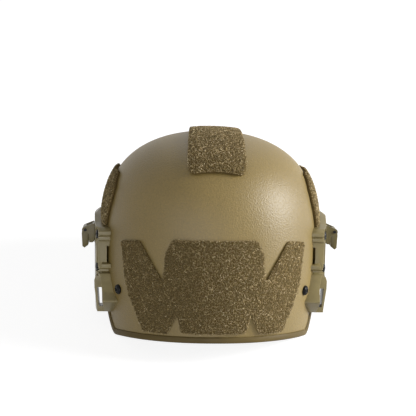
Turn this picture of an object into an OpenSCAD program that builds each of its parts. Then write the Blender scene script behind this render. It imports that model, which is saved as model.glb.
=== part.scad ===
// High-cut combat helmet with side rails, strap clips, loop patches, a front
// shroud, pads and a four-point chin harness stowed inside.
//
// Everything is drawn in the wearing frame: X to the wearer's right, Y forward,
// Z up, with the rear corners of the rim at Z = 0 and the widest section at
// Y = 0. stand() then tips the helmet onto its rim, as it rests on a table.

/* [Shell] */
// Half of the outside width at the widest section
half_width = 111; // [104:0.5:118]
// Widest section to the front of the shell
front_length = 136; // [126:0.5:146]
// Widest section to the rear of the shell
rear_length = 127; // [118:0.5:138]
// Height of the widest section above the rear corners
wide_height = 70; // [62:0.5:78]
// Rise from the widest section to the crown
dome_rise = 132; // [118:0.5:138]
// How far the rim is drawn in below the widest section
rim_tuck = 3.8; // [1:0.1:7]
// Wall of the pressed shell
shell_wall = 8.5; // [7:0.1:10]
// Roundness of the plan, 2 is an ellipse
plan_power = 2.12; // [2:0.01:2.4]
// Fullness of the dome's sides
side_power = 2.15; // [2:0.01:2.4]
// Fullness of the dome's top
dome_power = 3.65; // [3:0.05:4.2]

/* [Rim line] */
// Rise of the rim at the middle of the nape
nape_arch = 8; // [3:0.5:14]
// Height of the rim at its rear corners
corner_height = 2; // [0:0.5:5]
// Angle of the rear corners, from straight back
corner_angle = 57; // [50:0.5:62]
// Angle where the ear cut has reached its full height
ear_rear_angle = 83; // [78:0.5:90]
// Angle where the ear cut starts down to the brow
ear_front_angle = 116; // [110:0.5:122]
// Angle where the brow line starts
brow_angle = 146; // [138:0.5:152]
// Height of the ear cut
ear_height = 68; // [60:0.5:78]
// Height of the brow
brow_height = 55; // [46:0.5:60]
// Extra rise at the middle of the brow
brow_arch = 3; // [0:0.5:6]
// Height of the rubber edge trim over the shell wall
trim_height = 4.5; // [3.5:0.1:8]
// Thickness of the edge trim
trim_wall = 1.3; // [1:0.1:2.4]

/* [Loop patches] */
// Thickness of the loop pile patches
loop_thick = 3; // [2:0.1:4]
// Half of the crown patch's width
crown_patch_half = 26.5; // [20:0.5:32]
// Reach of the crown patch to the rear
crown_patch_rear = 99; // [85:0.5:105]
// Reach of the crown patch to the front
crown_patch_front = 14; // [0:0.5:40]
// Height of the rear patch's top edge
rear_patch_top = 106.5; // [96:0.5:112]
// Height of the rear patch's bottom edge
rear_patch_bottom = 17; // [14:0.5:22]
// Height of the side patches' top edge
side_patch_top = 166; // [158:0.5:172]

/* [Rails] */
// Distance from the middle plane to a rail's outer face
rail_reach = 119.5; // [118:0.5:124]
// Plan radius of a rail's outer face
rail_curve = 220; // [200:1:280]
// Height of the accessory channel's middle
channel_height = 97; // [94:0.5:100]
// Height of the channel's mouth
channel_mouth = 10; // [8:0.1:12]
// Height of the channel's floor
channel_floor = 16; // [13:0.1:18]
// Depth of the channel
channel_depth = 5; // [4:0.1:6]
// Spacing of the index notches along the channel
notch_pitch = 10; // [8:0.5:14]
// Thickness of the cord bar that stands off a rail's lower pod
cord_bar = 2.7; // [2.4:0.1:4.5]
// Gap between the cord bar and the pod
cord_gap = 5.2; // [4.4:0.1:5.4]

/* [Fasteners] */
// Diameter of the rail screws
rail_screw = 4; // [3:0.1:5]
// Diameter of the rail screws' heads
rail_screw_head = 9; // [8:0.1:10]
// Diameter of the harness bolts
harness_bolt = 5; // [4:0.1:6]
// Diameter of the harness bolts' heads
harness_bolt_head = 9.8; // [9:0.1:13]
// Angle of the rear harness bolts, from straight back
rear_bolt_angle = 50.7; // [46:0.1:53]
// Height of the rear harness bolts
rear_bolt_height = 49.5; // [44:0.5:56]

/* [Strap clips] */
// Place of the clip's middle along the rail
clip_place = -14; // [-28:0.5:0]
// Width of the clip
clip_width = 22; // [18:0.5:28]
// Distance from the rail's outer face to the clip's hinge
clip_reach = 9.4; // [8:0.1:11]
// Diameter of the clip's hinge pin
clip_pin = 3; // [2:0.1:4]
// Length of the hanging loop below the pin
clip_drop = 19; // [14:0.5:26]
// Thickness of the hanging loop
clip_thick = 6.4; // [5:0.1:7]

/* [Front shroud] */
// Height of the shroud's middle
shroud_height = 95; // [90:0.5:104]
// Thickness of the shroud at its middle
shroud_thick = 6; // [5:0.1:8]
// Half of the shroud's width at its top
shroud_half = 33; // [28:0.5:38]
// Half of the width of the shroud's mount opening
shroud_slot_half = 14; // [11:0.5:17]

/* [Pads] */
// Thickness of the fitting pads
pad_thick = 19; // [12:0.5:22]
// Thickness of the hook discs that hold the pads
disc_thick = 1.4; // [1:0.1:2]
// Radius of the hook discs
disc_radius = 15; // [10:0.5:18]

/* [Harness] */
// Width of the webbing
web_width = 20; // [16:0.5:22]
// Thickness of the webbing
web_thick = 1.6; // [1.2:0.1:2]
// Angle of the strap adjusters, from straight back
adjuster_angle = 90; // [86:0.5:94]
// Height of the strap adjusters
adjuster_height = 93; // [91:0.5:96]
// Height of the stowed chin strap at the front
chin_height = 84; // [80:0.5:92]
// Angle of the buckle, from straight back
buckle_angle = 118; // [112:0.5:124]
// Length of the buckle's socket
socket_length = 24; // [20:0.5:28]
// Half of the chin cup's length
cup_half = 36; // [28:0.5:42]
// Thickness of the chin cup
cup_thick = 6; // [4:0.5:8]

/* [Fits] */
// Gap between curved faces that lie on each other
seat_gap = 0.3; // [0.2:0.05:0.5]
// Radial running clearance of the hinge pins
run_gap = 0.05; // [0.02:0.01:0.1]
// Gap round a screw in its clearance hole
hole_gap = 0.3; // [0.2:0.05:0.6]
// Sliding gap between mating parts
slide_gap = 0.3; // [0.2:0.05:0.4]

/* [Hidden] */
$fn = 40;
// Facet count of the large arcs
arc_fn = 256;

shell_color = [0.50, 0.43, 0.29];
loop_color = [0.42, 0.36, 0.24];
rail_color = [0.58, 0.51, 0.36];
black_color = [0.05, 0.05, 0.05];
pad_color = [0.20, 0.19, 0.17];
web_color = [0.45, 0.40, 0.28];

// Small helpers

function unit(v) = v / max(norm(v), 1e-9);
function lerp(a, b, t) = a + (b - a) * t;
function ease(t) = let(s = min(1, max(0, t))) s * s * (3 - 2 * s);
function flat(rows) = [for (r = rows) each r];
function backwards(list) = [for (i = [len(list) - 1:-1:0]) list[i]];

// A corner at p between a and b, rounded with radius r in n steps.
function corner(a, p, b, r, n) =
    let(u = unit(a - p), v = unit(b - p), half = acos(u * v) / 2,
        d = min(r / tan(half), 0.45 * min(norm(a - p), norm(b - p))),
        rr = d * tan(half), o = p + unit(u + v) * (rr / sin(half)),
        s = p + u * d - o, e = p + v * d - o,
        from = atan2(s[1], s[0]),
        turn = (atan2(e[1], e[0]) - from + 540) % 360 - 180)
    [for (k = [0:n]) o + rr * [cos(from + turn * k / n), sin(from + turn * k / n)]];

// An outline whose points are [x, y, corner radius].
function rounded(pts, n = 4) =
    let(m = len(pts))
    [for (i = [0:m - 1])
        let(a = pts[(i + m - 1) % m], p = pts[i], b = pts[(i + 1) % m])
        each p[2] > 0
            ? corner([a[0], a[1]], [p[0], p[1]], [b[0], b[1]], p[2], n)
            : [[p[0], p[1]]]];

// A closed solid over rings of equal length, each running anticlockwise about
// the way they are stacked. With loop = true the last ring meets the first.
module skin_rings(rings, loop = false) {
    m = len(rings[0]);
    n = len(rings);
    last = loop ? n - 1 : n - 2;
    sides = [for (k = [0:last]) for (i = [0:m - 1])
        let(k2 = (k + 1) % n, i2 = (i + 1) % m)
        each [[k * m + i, k2 * m + i, k2 * m + i2], [k * m + i, k2 * m + i2, k * m + i2]]];
    caps = loop ? [] : concat(
        [for (i = [1:m - 2]) [0, i, i + 1]],
        [for (i = [1:m - 2]) [(n - 1) * m, (n - 1) * m + i + 1, (n - 1) * m + i]]);
    polyhedron(points = flat(rings), faces = concat(sides, caps), convexity = 8);
}

// The same with a middle point at each end.
module skin_cushion(rings, first, final) {
    m = len(rings[0]);
    n = len(rings);
    sides = [for (k = [0:n - 2]) for (i = [0:m - 1])
        let(i2 = (i + 1) % m)
        each [[k * m + i, (k + 1) * m + i, (k + 1) * m + i2],
              [k * m + i, (k + 1) * m + i2, k * m + i2]]];
    ends = [for (i = [0:m - 1]) let(i2 = (i + 1) % m)
        each [[n * m, i, i2], [n * m + 1, (n - 1) * m + i2, (n - 1) * m + i]]];
    polyhedron(points = concat(flat(rings), [first, final]),
               faces = concat(sides, ends), convexity = 8);
}

// A slab between an outer and an inner grid of rows of points.
module skin_slab(outer, inner) {
    r = len(outer);
    c = len(outer[0]);
    k = r * c;
    both = [for (i = [0:r - 2]) for (j = [0:c - 2])
        let(p = i * c + j, q = p + c)
        each [[p, q, q + 1], [p, q + 1, p + 1],
              [k + p, k + q + 1, k + q], [k + p, k + p + 1, k + q + 1]]];
    ends = [for (j = [0:c - 2])
        let(q = (r - 1) * c + j)
        each [[j, j + 1, k + j + 1], [j, k + j + 1, k + j],
              [q, k + q + 1, q + 1], [q, k + q, k + q + 1]]];
    edges = [for (i = [0:r - 2])
        let(p = i * c, s = p + c - 1)
        each [[p, k + p + c, p + c], [p, k + p, k + p + c],
              [s, s + c, k + s + c], [s, k + s + c, k + s]]];
    polyhedron(points = concat(flat(outer), flat(inner)),
               faces = concat(both, ends, edges), convexity = 8);
}

// An outline in Y and Z, extruded along X.
module side_prism(from, to) {
    translate([from, 0, 0]) rotate([90, 0, 90]) linear_extrude(to - from) children();
}

// The shell's form
// Angles run from straight back (0) by the right (90) to the front (180).

function plan_scale(x, y) =
    max(1e-6, pow(pow(abs(x) / half_width, plan_power)
        + pow(abs(y) / (y < 0 ? rear_length : front_length), plan_power), 1 / plan_power));
function waist(z) = z < wide_height
    ? 1 - rim_tuck / half_width * pow((wide_height - z) / wide_height, 2)
    : pow(max(0, 1 - pow(min(1, (z - wide_height) / dome_rise), dome_power)), 1 / side_power);
// A point on the outside at an angle and a height.
function on_skin(a, z) =
    let(r = waist(z) / plan_scale(sin(a), -cos(a))) [r * sin(a), -r * cos(a), z];
// A point on the dome above a place in plan.
function on_dome(x, y) =
    [x, y, wide_height + dome_rise
        * pow(1 - pow(min(1, plan_scale(x, y)), side_power), 1 / dome_power)];
// The outward normal at a point of the skin.
function outward(p) =
    let(s = plan_scale(p[0], p[1]), n = plan_power,
        len_y = p[1] < 0 ? rear_length : front_length,
        gx = pow(s, 1 - n) * pow(abs(p[0]), n - 1) / pow(half_width, n) * sign(p[0]),
        gy = pow(s, 1 - n) * pow(abs(p[1]), n - 1) / pow(len_y, n) * sign(p[1]),
        w = (wide_height - p[2]) / wide_height)
    unit(p[2] < wide_height
        ? [gx, gy, -2 * rim_tuck / half_width * w / wide_height]
        : [side_power * pow(s, side_power - 1) * gx, side_power * pow(s, side_power - 1) * gy,
           dome_power * pow(-w * wide_height / dome_rise, dome_power - 1) / dome_rise]);
// A point at a distance from the outside, positive outwards.
function off_skin(a, z, d) = let(p = on_skin(a, z)) p + outward(p) * d;
function off_dome(x, y, d) = let(p = on_dome(x, y)) p + outward(p) * d;
// A point at a depth below the inside of the wall.
function inside(a, z, depth) = off_skin(a, z, -(shell_wall + depth));

// How far a point lies beyond the skin, as a share of the plan.
function beyond(p) = plan_scale(p[0], p[1]) - waist(p[2]);
// The distance from a point outside, against a direction, to the skin.
function reach_skin(p, way, lo = 0, hi = 60, n = 26) =
    n == 0 ? (lo + hi) / 2
    : let(mid = (lo + hi) / 2)
        beyond(p - way * mid) > 0 ? reach_skin(p, way, mid, hi, n - 1)
                                  : reach_skin(p, way, lo, mid, n - 1);

// Where the normal through a point below the wall leaves the skin.
function foot_of(p, n, k = 6) =
    let(f = p + n * (40 - reach_skin(p + n * 40, n)))
    k == 0 ? f : foot_of(p, outward(f), k - 1);
// Angle, height and depth of a point below the wall.
function place_of(p) =
    let(f = foot_of(p, outward(on_skin(atan2(p[0], -p[1]), p[2]))))
    [atan2(f[0], -f[1]), f[2], norm(f - p) - shell_wall];

// Height of the rim at an angle, the same on both sides.
function rim(a) =
    let(b = a > 180 ? 360 - a : a,
        nape = corner_height + nape_arch * (1 - pow(min(1, b / corner_angle), 2)),
        up = ease((b - corner_angle) / (ear_rear_angle - corner_angle)),
        down = ease((b - ear_front_angle) / (brow_angle - ear_front_angle)),
        arch = brow_arch * ease((b - brow_angle) / (180 - brow_angle)))
    nape + up * (ear_height - corner_height) - down * (ear_height - brow_height) + arch;

// Column angles, closer together where the rim climbs.
stops = [0, corner_angle - 13, ear_rear_angle + 2, ear_front_angle - 2, brow_angle + 2, 180];
steps = [8, 16, 4, 7, 6];
half_columns = [for (k = [0:4]) for (i = [0:steps[k] - 1])
    lerp(stops[k], stops[k + 1], i / steps[k])];
columns = concat(half_columns, [180],
    [for (i = [len(half_columns) - 1:-1:1]) 360 - half_columns[i]]);
shoulder = 120;
wall_rows = 5;
dome_rows = 11;
shoulder_turn = asin(pow((shoulder - wide_height) / dome_rise, dome_power / 2));
// Height of row i in a column whose lowest point is at z0.
function row_height(z0, i) = i <= wall_rows
    ? lerp(z0, shoulder, i / wall_rows)
    : wide_height + dome_rise
        * pow(sin(lerp(shoulder_turn, 90, (i - wall_rows) / dome_rows)), 2 / dome_power);

// A block of skin between two distances, over the columns between two angles.
module skin_block(from, to, low, high, outer, inner, rows = 7) {
    inner_columns = [for (a = columns) if (a > from + 0.5 && a < to - 0.5) a];
    cols = concat([from], inner_columns, [to]);
    level = [for (i = [0:rows]) lerp(low, high, i / rows)];
    skin_slab([for (z = level) [for (a = cols) off_skin(a, z, outer)]],
              [for (z = level) [for (a = cols) off_skin(a, z, inner)]]);
}

// Puts children on the outside at an angle and a height, +Z outwards.
module on_wall(a, z, d = 0) {
    p = off_skin(a, z, d);
    n = outward(on_skin(a, z));
    translate(p) rotate([0, acos(n[2]), atan2(n[1], n[0])]) rotate(90) children();
}

// Standing on a table

// Frame of the rim at an angle: point, outward normal and the way up the wall.
function rim_along(a) = unit(on_skin(a + 0.5, rim(a + 0.5)) - on_skin(a - 0.5, rim(a - 0.5)));
function rim_up(a) = cross(outward(on_skin(a, rim(a))), rim_along(a));
// A point of the trim: up the wall from the rim, then off the outside face.
function trim_point(a, up, d) =
    let(p = on_skin(a, rim(a)) + rim_up(a) * up, b = atan2(p[0], -p[1]))
    off_skin(b, p[2], d);
function trim_ring(a) =
    let(o1 = seat_gap, o2 = seat_gap + trim_wall,
        i1 = -shell_wall - seat_gap, i2 = -shell_wall - seat_gap - trim_wall)
    [trim_point(a, trim_height, o2), trim_point(a, -seat_gap - trim_wall, o2),
     trim_point(a, -seat_gap - trim_wall, i2), trim_point(a, trim_height, i2),
     trim_point(a, trim_height, i1), trim_point(a, -seat_gap, i1),
     trim_point(a, -seat_gap, o1), trim_point(a, trim_height, o1)];

soles = [for (a = columns) let(r = trim_ring(a)) each [r[1], r[2]]];
function drop(p, t) = p[2] * cos(t) - p[1] * sin(t);
function lean(p, t) = p[1] * cos(t) + p[2] * sin(t);
function tip(lo = 0, hi = 40, n = 30) =
    n == 0 ? (lo + hi) / 2
    : let(t = (lo + hi) / 2,
          front = min([for (p = soles) if (p[1] > 0) drop(p, t)]),
          rear = min([for (p = soles) if (p[1] < 0) drop(p, t)]))
        front > rear ? tip(t, hi, n - 1) : tip(lo, t, n - 1);
tilt = tip();
table = min([for (p = soles) drop(p, tilt)]);
// Farthest points to the front and to the rear, for the middle of the length.
shroud_up = 21;
brow_way = outward(on_skin(180, shroud_height));
front_end = lean(on_skin(180, shroud_height) + brow_way * shroud_thick
    + [0, -brow_way[2], brow_way[1]] * shroud_up, tilt);
rear_end = min([for (p = soles) lean(p, tilt)]);

module stand() {
    translate([0, -(front_end + rear_end) / 2, -table]) rotate([-tilt, 0, 0]) children();
}

module left_side() {
    mirror([1, 0, 0]) children();
}

// The room that the trim takes up under a rail.
module trim_room() {
    cols = [for (a = half_columns) if (a > 40 && a < 140) a];
    g = seat_gap;
    skin_rings([for (a = cols) [
        trim_point(a, trim_height + g, trim_wall + 2 * g), trim_point(a, -6, trim_wall + 2 * g),
        trim_point(a, -6, -6), trim_point(a, trim_height + g, -6)]]);
}

// Shell and trim

module shell_form() {
    c = len(columns);
    r = wall_rows + dome_rows;
    wall = [for (d = [0, -shell_wall]) for (i = [0:r - 1]) for (a = columns)
        off_skin(a, row_height(rim(a), i), d)];
    k = r * c;
    crown = wide_height + dome_rise;
    sides = [for (i = [0:r - 2]) for (j = [0:c - 1])
        let(p = i * c + j, s = i * c + (j + 1) % c)
        each [[p, p + c, s + c], [p, s + c, s],
              [k + p, k + s + c, k + p + c], [k + p, k + s, k + s + c]]];
    ends = [for (j = [0:c - 1])
        let(j2 = (j + 1) % c, q = (r - 1) * c + j, q2 = (r - 1) * c + j2)
        each [[j, j2, k + j2], [j, k + j2, k + j],
              [q, 2 * k, q2], [k + q, k + q2, 2 * k + 1]]];
    polyhedron(points = concat(wall, [[0, 0, crown], [0, 0, crown - shell_wall]]),
               faces = concat(sides, ends), convexity = 8);
}

module shell() {
    color(shell_color) stand() difference() {
        shell_form();
        for (side = [0, 1]) mirror([side, 0, 0]) {
            on_wall(rear_bolt_angle, rear_bolt_height, -2 * shell_wall)
                cylinder(d = harness_bolt + 2 * hole_gap, h = 3 * shell_wall);
            for (s = rail_sites) on_wall(s[0], s[1], -2 * shell_wall)
                cylinder(d = barrel_wide(rail_screw) + 2 * hole_gap, h = 3 * shell_wall);
        }
        for (s = shroud_sites) on_wall(s[0], s[1], -2 * shell_wall)
            cylinder(d = barrel_wide(rail_screw) + 2 * hole_gap, h = 3 * shell_wall);
    }
}

module edge_trim() {
    color(shell_color * 0.9) stand()
        skin_rings([for (a = columns) trim_ring(a)], loop = true);
}

// Loop patches

module crown_loop_patch() {
    across = 6;
    along = 14;
    function spot(i, j, d) = off_dome(
        lerp(-crown_patch_half, crown_patch_half, j / across),
        lerp(-crown_patch_rear, crown_patch_front, i / along), d);
    outline = rounded([
        [-crown_patch_half + 0.3, -crown_patch_rear + 0.3, 8],
        [crown_patch_half - 0.3, -crown_patch_rear + 0.3, 8],
        [crown_patch_half - 0.3, crown_patch_front - 0.3, 8],
        [-crown_patch_half + 0.3, crown_patch_front - 0.3, 8]]);
    color(loop_color) stand() intersection() {
        skin_slab([for (i = [0:along]) [for (j = [0:across]) spot(i, j, seat_gap + loop_thick)]],
                  [for (i = [0:along]) [for (j = [0:across]) spot(i, j, seat_gap)]]);
        translate([0, 0, wide_height]) linear_extrude(dome_rise + 20) polygon(outline);
    }
}

// The rear patch is a wide block between two lobes, parted by deep notches at
// the top and small ones at the bottom.
module rear_loop_patch() {
    top = rear_patch_top;
    low = rear_patch_bottom;
    half = [
        [29.5, low + 1, 3], [34.3, low + 15.5, 0.8], [43.5, low - 1, 3],
        [66, low - 2, 4], [79.5, low + 31, 8], [83, low + 43, 10], [87.3, top - 7, 3],
        [69.8, top - 4, 3], [47.8, top - 36.7, 0.8], [45.6, top - 13.5, 5], [39.2, top, 4]];
    outline = rounded(concat(half, [for (p = backwards(half)) [-p[0], p[1], p[2]]]), 3);
    color(loop_color) stand() intersection() {
        rear_layer();
        translate([0, -40, 0]) rotate([90, 0, 0])
            linear_extrude(rear_length) polygon(outline);
    }
}
// The layer that the rear patch is cut from, over the rear columns of both sides.
module rear_layer() {
    cols = concat([for (a = columns) if (a > 250 && a < 360) a - 360],
                  [for (a = columns) if (a < 110) a]);
    near = [for (a = cols) if (abs(a) < 57) a];
    level = [for (i = [0:8]) lerp(rear_patch_bottom - 6, rear_patch_top + 4, i / 8)];
    skin_slab(
        [for (z = level) [for (a = near) off_skin(a, z, seat_gap + loop_thick)]],
        [for (z = level) [for (a = near) off_skin(a, z, seat_gap)]]);
}

module side_loop_patch() {
    top = side_patch_top;
    low = channel_height;
    outline = rounded([
        [-38, top, 6], [-52, top - 15, 6], [-53, top - 28, 6], [-44, low + 17, 4],
        [8, low + 31, 12], [42, low + 24, 5], [54, top - 32, 6], [45, top - 12, 6],
        [24, top, 6]], 3);
    intersection() {
        skin_block(50, 120, low + 11, top + 3, seat_gap + loop_thick, seat_gap, 6);
        side_prism(50, half_width + 20) polygon(outline);
    }
}
module side_loop_patch_right() {
    color(loop_color) stand() side_loop_patch();
}
module side_loop_patch_left() {
    color(loop_color) stand() left_side() side_loop_patch();
}

// Rails
// A rail's outer face is part of an upright cylinder. Its channel and bevels
// are turned about the same axis, so that they follow the face.

rail_axis = [rail_reach - rail_curve, -8, 0];
function rail_turn(y) = asin((y - rail_axis[1]) / rail_curve);
function rail_way(y) = [cos(rail_turn(y)), sin(rail_turn(y)), 0];
function rail_face(y, z) = [rail_axis[0], rail_axis[1], z] + rail_way(y) * rail_curve;
// Distance along the wall's normal from the skin to the rail's outer face.
function face_gap(a, z) =
    let(p = on_skin(a, z) - rail_axis, n = outward(on_skin(a, z)),
        k = n[0] * n[0] + n[1] * n[1], b = p[0] * n[0] + p[1] * n[1],
        c = p[0] * p[0] + p[1] * p[1] - rail_curve * rail_curve)
    (-b + sqrt(b * b - k * c)) / k;

// Screws: angle, height, depth of the head's seat below the rail's face, and
// what lies between the wall and the nut.
spot_face = 2.4;
tab_room = web_thick + 0.5;
rail_sites = [
    [66.5, channel_height - 30, spot_face, 0],
    [65.5, channel_height + 3, spot_face, 0],
    [98.5, channel_height, channel_depth + 0.4, 0],
    [127.5, channel_height - 11, 3.4, tab_room]];
function seat_of(s) = face_gap(s[0], s[1]) - s[2];
module at_rail_site(s) {
    on_wall(s[0], s[1], seat_of(s)) children();
}
module on_rail_axis() {
    translate(rail_axis) children();
}
// A stretch of ring about the rail's axis between two places along Y.
module rail_sweep(from, to) {
    on_rail_axis() rotate([0, 0, rail_turn(from)])
        rotate_extrude(angle = rail_turn(to) - rail_turn(from), $fn = arc_fn) children();
}

pod_out = rail_reach - 2.5;
window_in = pod_out - cord_bar - cord_gap;
window_lean = 1.8;
module rail() {
    zc = channel_height;
    r = rail_curve;
    outline = rounded([
        [-57, 22.5, 2], [-73, 36.5, 1.5], [-64.5, 44, 9], [-59.5, 54, 16], [-57, 61.5, 1.5],
        [-52, 62.5, 1], [-52, 65.5, 1], [-59.5, 67, 1], [-59.5, 71.5, 1], [-55, 72.5, 0.6],
        [-55, zc - 3.2, 0.8], [-57, zc - 2, 0.5], [-57, zc + 1.6, 0.5], [-55.8, zc + 2.2, 0.2],
        [-58.2, zc + 3.2, 0.8], [-58.2, zc + 7.2, 1.6], [-53, zc + 10.5, 3], [-44, zc + 12, 4],
        [-37, zc + 13.5, 3], [-20, zc + 21, 6], [6, zc + 28, 14], [24, zc + 25.5, 14],
        [52, zc + 12, 10], [74, zc + 2, 6],
        [89, zc - 14, 5], [86, zc - 24, 5], [66, zc - 26, 8], [30, zc - 19, 12],
        [-12, zc - 18, 12], [-28, zc - 32, 12], [-37, zc - 56, 8], [-43, 24, 5]]);
    difference() {
        union() {
            intersection() {
                side_prism(rail_reach - 41, rail_reach + 10) polygon(outline);
                on_rail_axis() cylinder(r = r, h = 2 * zc, $fn = arc_fn);
            }
            // The pod's outer side is flat and leans in toward its lower end
            intersection() {
                side_prism(rail_reach - 41, rail_reach) polygon(outline);
                translate([0, -44, 0]) rotate([90, 0, 0]) linear_extrude(40) polygon([
                    [pod_out - 25, 20], [pod_out - 3.6, 20], [pod_out - 0.2, 47], [pod_out, 55],
                    [pod_out - 2, 61], [pod_out - 25, 61]]);
            }
        }
        // The shell's form, with the seating gap
        skin_block(38, 140, 8, shoulder + 14, seat_gap, -34, 8);
        trim_room();
        // Dovetail channel, open at its front end
        rail_sweep(-38, 96) polygon([
            [r - channel_depth, zc - channel_floor / 2],
            [r - 0.8, zc - channel_mouth / 2], [r + 2, zc - channel_mouth / 2],
            [r + 2, zc + channel_mouth / 2], [r - 0.8, zc + channel_mouth / 2],
            [r - channel_depth, zc + channel_floor / 2]]);
        // Bevel of the upper wing
        rail_sweep(-39, 96) polygon([
            [r - 9.5, zc + 33], [r - 9.5, zc + 28.5], [r - 1.8, zc + 21], [r + 2, zc + 20],
            [r + 2, zc + 33]]);
        // Step of the outer face at the rear end
        rail_sweep(-70, -50.5) polygon([
            [r - 1.3, 59], [r - 1.3, zc + 14], [r + 3, zc + 14], [r + 3, 59]]);
        // The cord bar stands farther forward than the pod's inner part
        translate([0, -57, 0]) rotate([90, 0, 0]) linear_extrude(30) polygon([
            [window_in - window_lean - 1, 18], [window_in, 47.5], [window_in + 2.4, 61.6],
            [rail_reach + 5, 61.6], [rail_reach + 5, 18]]);
        // The ridge over the pod is only as wide as the pod's inner part
        translate([rail_reach - 10, -66, 61.6]) cube([20, 13, 11.5]);
        // Bevel of the lower edge, forward of the pod
        rail_sweep(-22, 96) polygon([
            [r - 5, zc - 28], [r - 5, zc - 20], [r + 1, zc - 12], [r + 2, zc - 28]]);
        // Recessed panel at the front end
        rail_sweep(58, 96) polygon([
            [r - 2.5, zc - 30], [r - 2.5, zc - 6.5], [r + 2, zc - 6.5], [r + 2, zc - 30]]);
        // Index notches over and under the channel
        for (y = [-28:notch_pitch:62]) translate(rail_face(y, 0))
            rotate([0, 0, rail_turn(y)]) {
                translate([-1.2, -1.5, zc + channel_mouth / 2 + 2]) cube([4, 3, 4]);
                translate([-1.2, -1.5, zc - channel_mouth / 2 - 6]) cube([4, 3, 4]);
            }
        // Hollow behind the rear end, against the shell
        translate([90, -62, zc - 25]) cube([rail_reach - 104.8, 18, 17]);
        // Window between the pod and its cord bar, right through from rear to front
        translate([0, -25, 0]) rotate([90, 0, 0]) linear_extrude(60) polygon([
            [window_in - window_lean, 28], [window_in + cord_gap - window_lean, 28],
            [window_in + cord_gap, 47.5], [window_in, 47.5]]);
        // Screw holes
        for (s = rail_sites) at_rail_site(s) {
            translate([0, 0, -40]) cylinder(d = rail_screw + 2 * hole_gap, h = 50);
            cylinder(d = rail_screw_head + 2 * hole_gap, h = 10);
        }
        // Threaded hole for an accessory, in the front end
        at_accessory() translate([0, 0, -accessory_depth])
            cylinder(d = accessory_bore, h = accessory_depth + 5);
    }
}
accessory_place = 47;
accessory_drop = 11.5;
accessory_bore = 3.4;
accessory_depth = 6;
module at_accessory() {
    translate(rail_face(accessory_place, channel_height - accessory_drop))
        rotate([0, 90, rail_turn(accessory_place)]) children();
}

module rail_right() {
    color(rail_color) stand() rail();
}
module rail_left() {
    color(rail_color) stand() left_side() rail();
}

// A domed head with a hexagon socket, seated at Z = 0, and its shank below.
module screw(d, head, shank) {
    rise = head * 0.3;
    difference() {
        union() {
            rotate_extrude() polygon(concat([[0, 0], [head / 2, 0]],
                [for (t = [0:15:90]) [head / 2 * cos(t) * 0.35 + head / 2 * 0.65 * cos(t / 1.8),
                                      0.6 + (rise - 0.6) * sin(t)]],
                [[0, rise]]));
            translate([0, 0, -shank]) cylinder(d = d, h = shank + 0.5);
        }
        translate([0, 0, rise - head * 0.16]) cylinder(d = head * 0.38, h = rise, $fn = 6);
    }
}
// A flanged nut on the inside of the wall, whose barrel stands in the hole.
flange_thick = 1.2;
flange_wide = 10;
barrel_long = 5.5;
function barrel_wide(d) = d + 2;
module wall_nut(a, z, d, under = 0) {
    on_wall(a, z, -shell_wall - 1.5 * seat_gap - under) difference() {
        union() {
            translate([0, 0, -flange_thick]) cylinder(d = flange_wide, h = flange_thick);
            translate([0, 0, -flange_thick])
                cylinder(d = barrel_wide(d), h = flange_thick + barrel_long);
        }
        translate([0, 0, -2 * flange_thick])
            cylinder(d = d + 2 * run_gap, h = 2 * flange_thick + barrel_long + 1);
    }
}
module rail_screws() {
    for (s = rail_sites)
        at_rail_site(s) screw(rail_screw, rail_screw_head, seat_of(s) + shell_wall + s[3]);
}
module rail_nuts() {
    for (s = rail_sites) wall_nut(s[0], s[1], rail_screw, s[3]);
}
module rail_screws_right() {
    color(black_color) stand() rail_screws();
}
module rail_screws_left() {
    color(black_color) stand() left_side() rail_screws();
}
module rail_nuts_right() {
    color(black_color) stand() rail_nuts();
}
module rail_nuts_left() {
    color(black_color) stand() left_side() rail_nuts();
}

// The rear harness bolts pass the shell, the nape strap and the rear strap.
web_seat = 0.5;
nut_depth = 2 * (web_seat + web_thick) + web_seat;
post_high = 4;
module harness_bolts() {
    color(black_color) stand() for (side = [0, 1]) mirror([side, 0, 0])
        on_wall(rear_bolt_angle, rear_bolt_height, 0.1)
            screw(harness_bolt, harness_bolt_head, shell_wall + nut_depth + post_high);
}
module harness_nuts() {
    color(black_color) stand() for (side = [0, 1]) mirror([side, 0, 0])
        on_wall(rear_bolt_angle, rear_bolt_height, -shell_wall - nut_depth) difference() {
            union() {
                translate([0, 0, -1.4]) cylinder(d = 12, h = 1.4);
                translate([0, 0, -post_high]) cylinder(d = harness_bolt + 3.4, h = post_high);
            }
            translate([0, 0, -post_high - 1])
                cylinder(d = harness_bolt + 2 * run_gap, h = post_high + 2);
        }
}

// Strap clips
// The base slides into the channel, and its two ears carry the pin on which
// the loop for the goggle strap swings.

clip_turn = rail_turn(clip_place);
hinge_out = rail_curve + clip_reach;
hinge_up = channel_height + 3.4;
ear_thick = 3;
plate_thick = 2.4;
module at_clip() {
    on_rail_axis() rotate([0, 0, clip_turn]) children();
}
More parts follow.
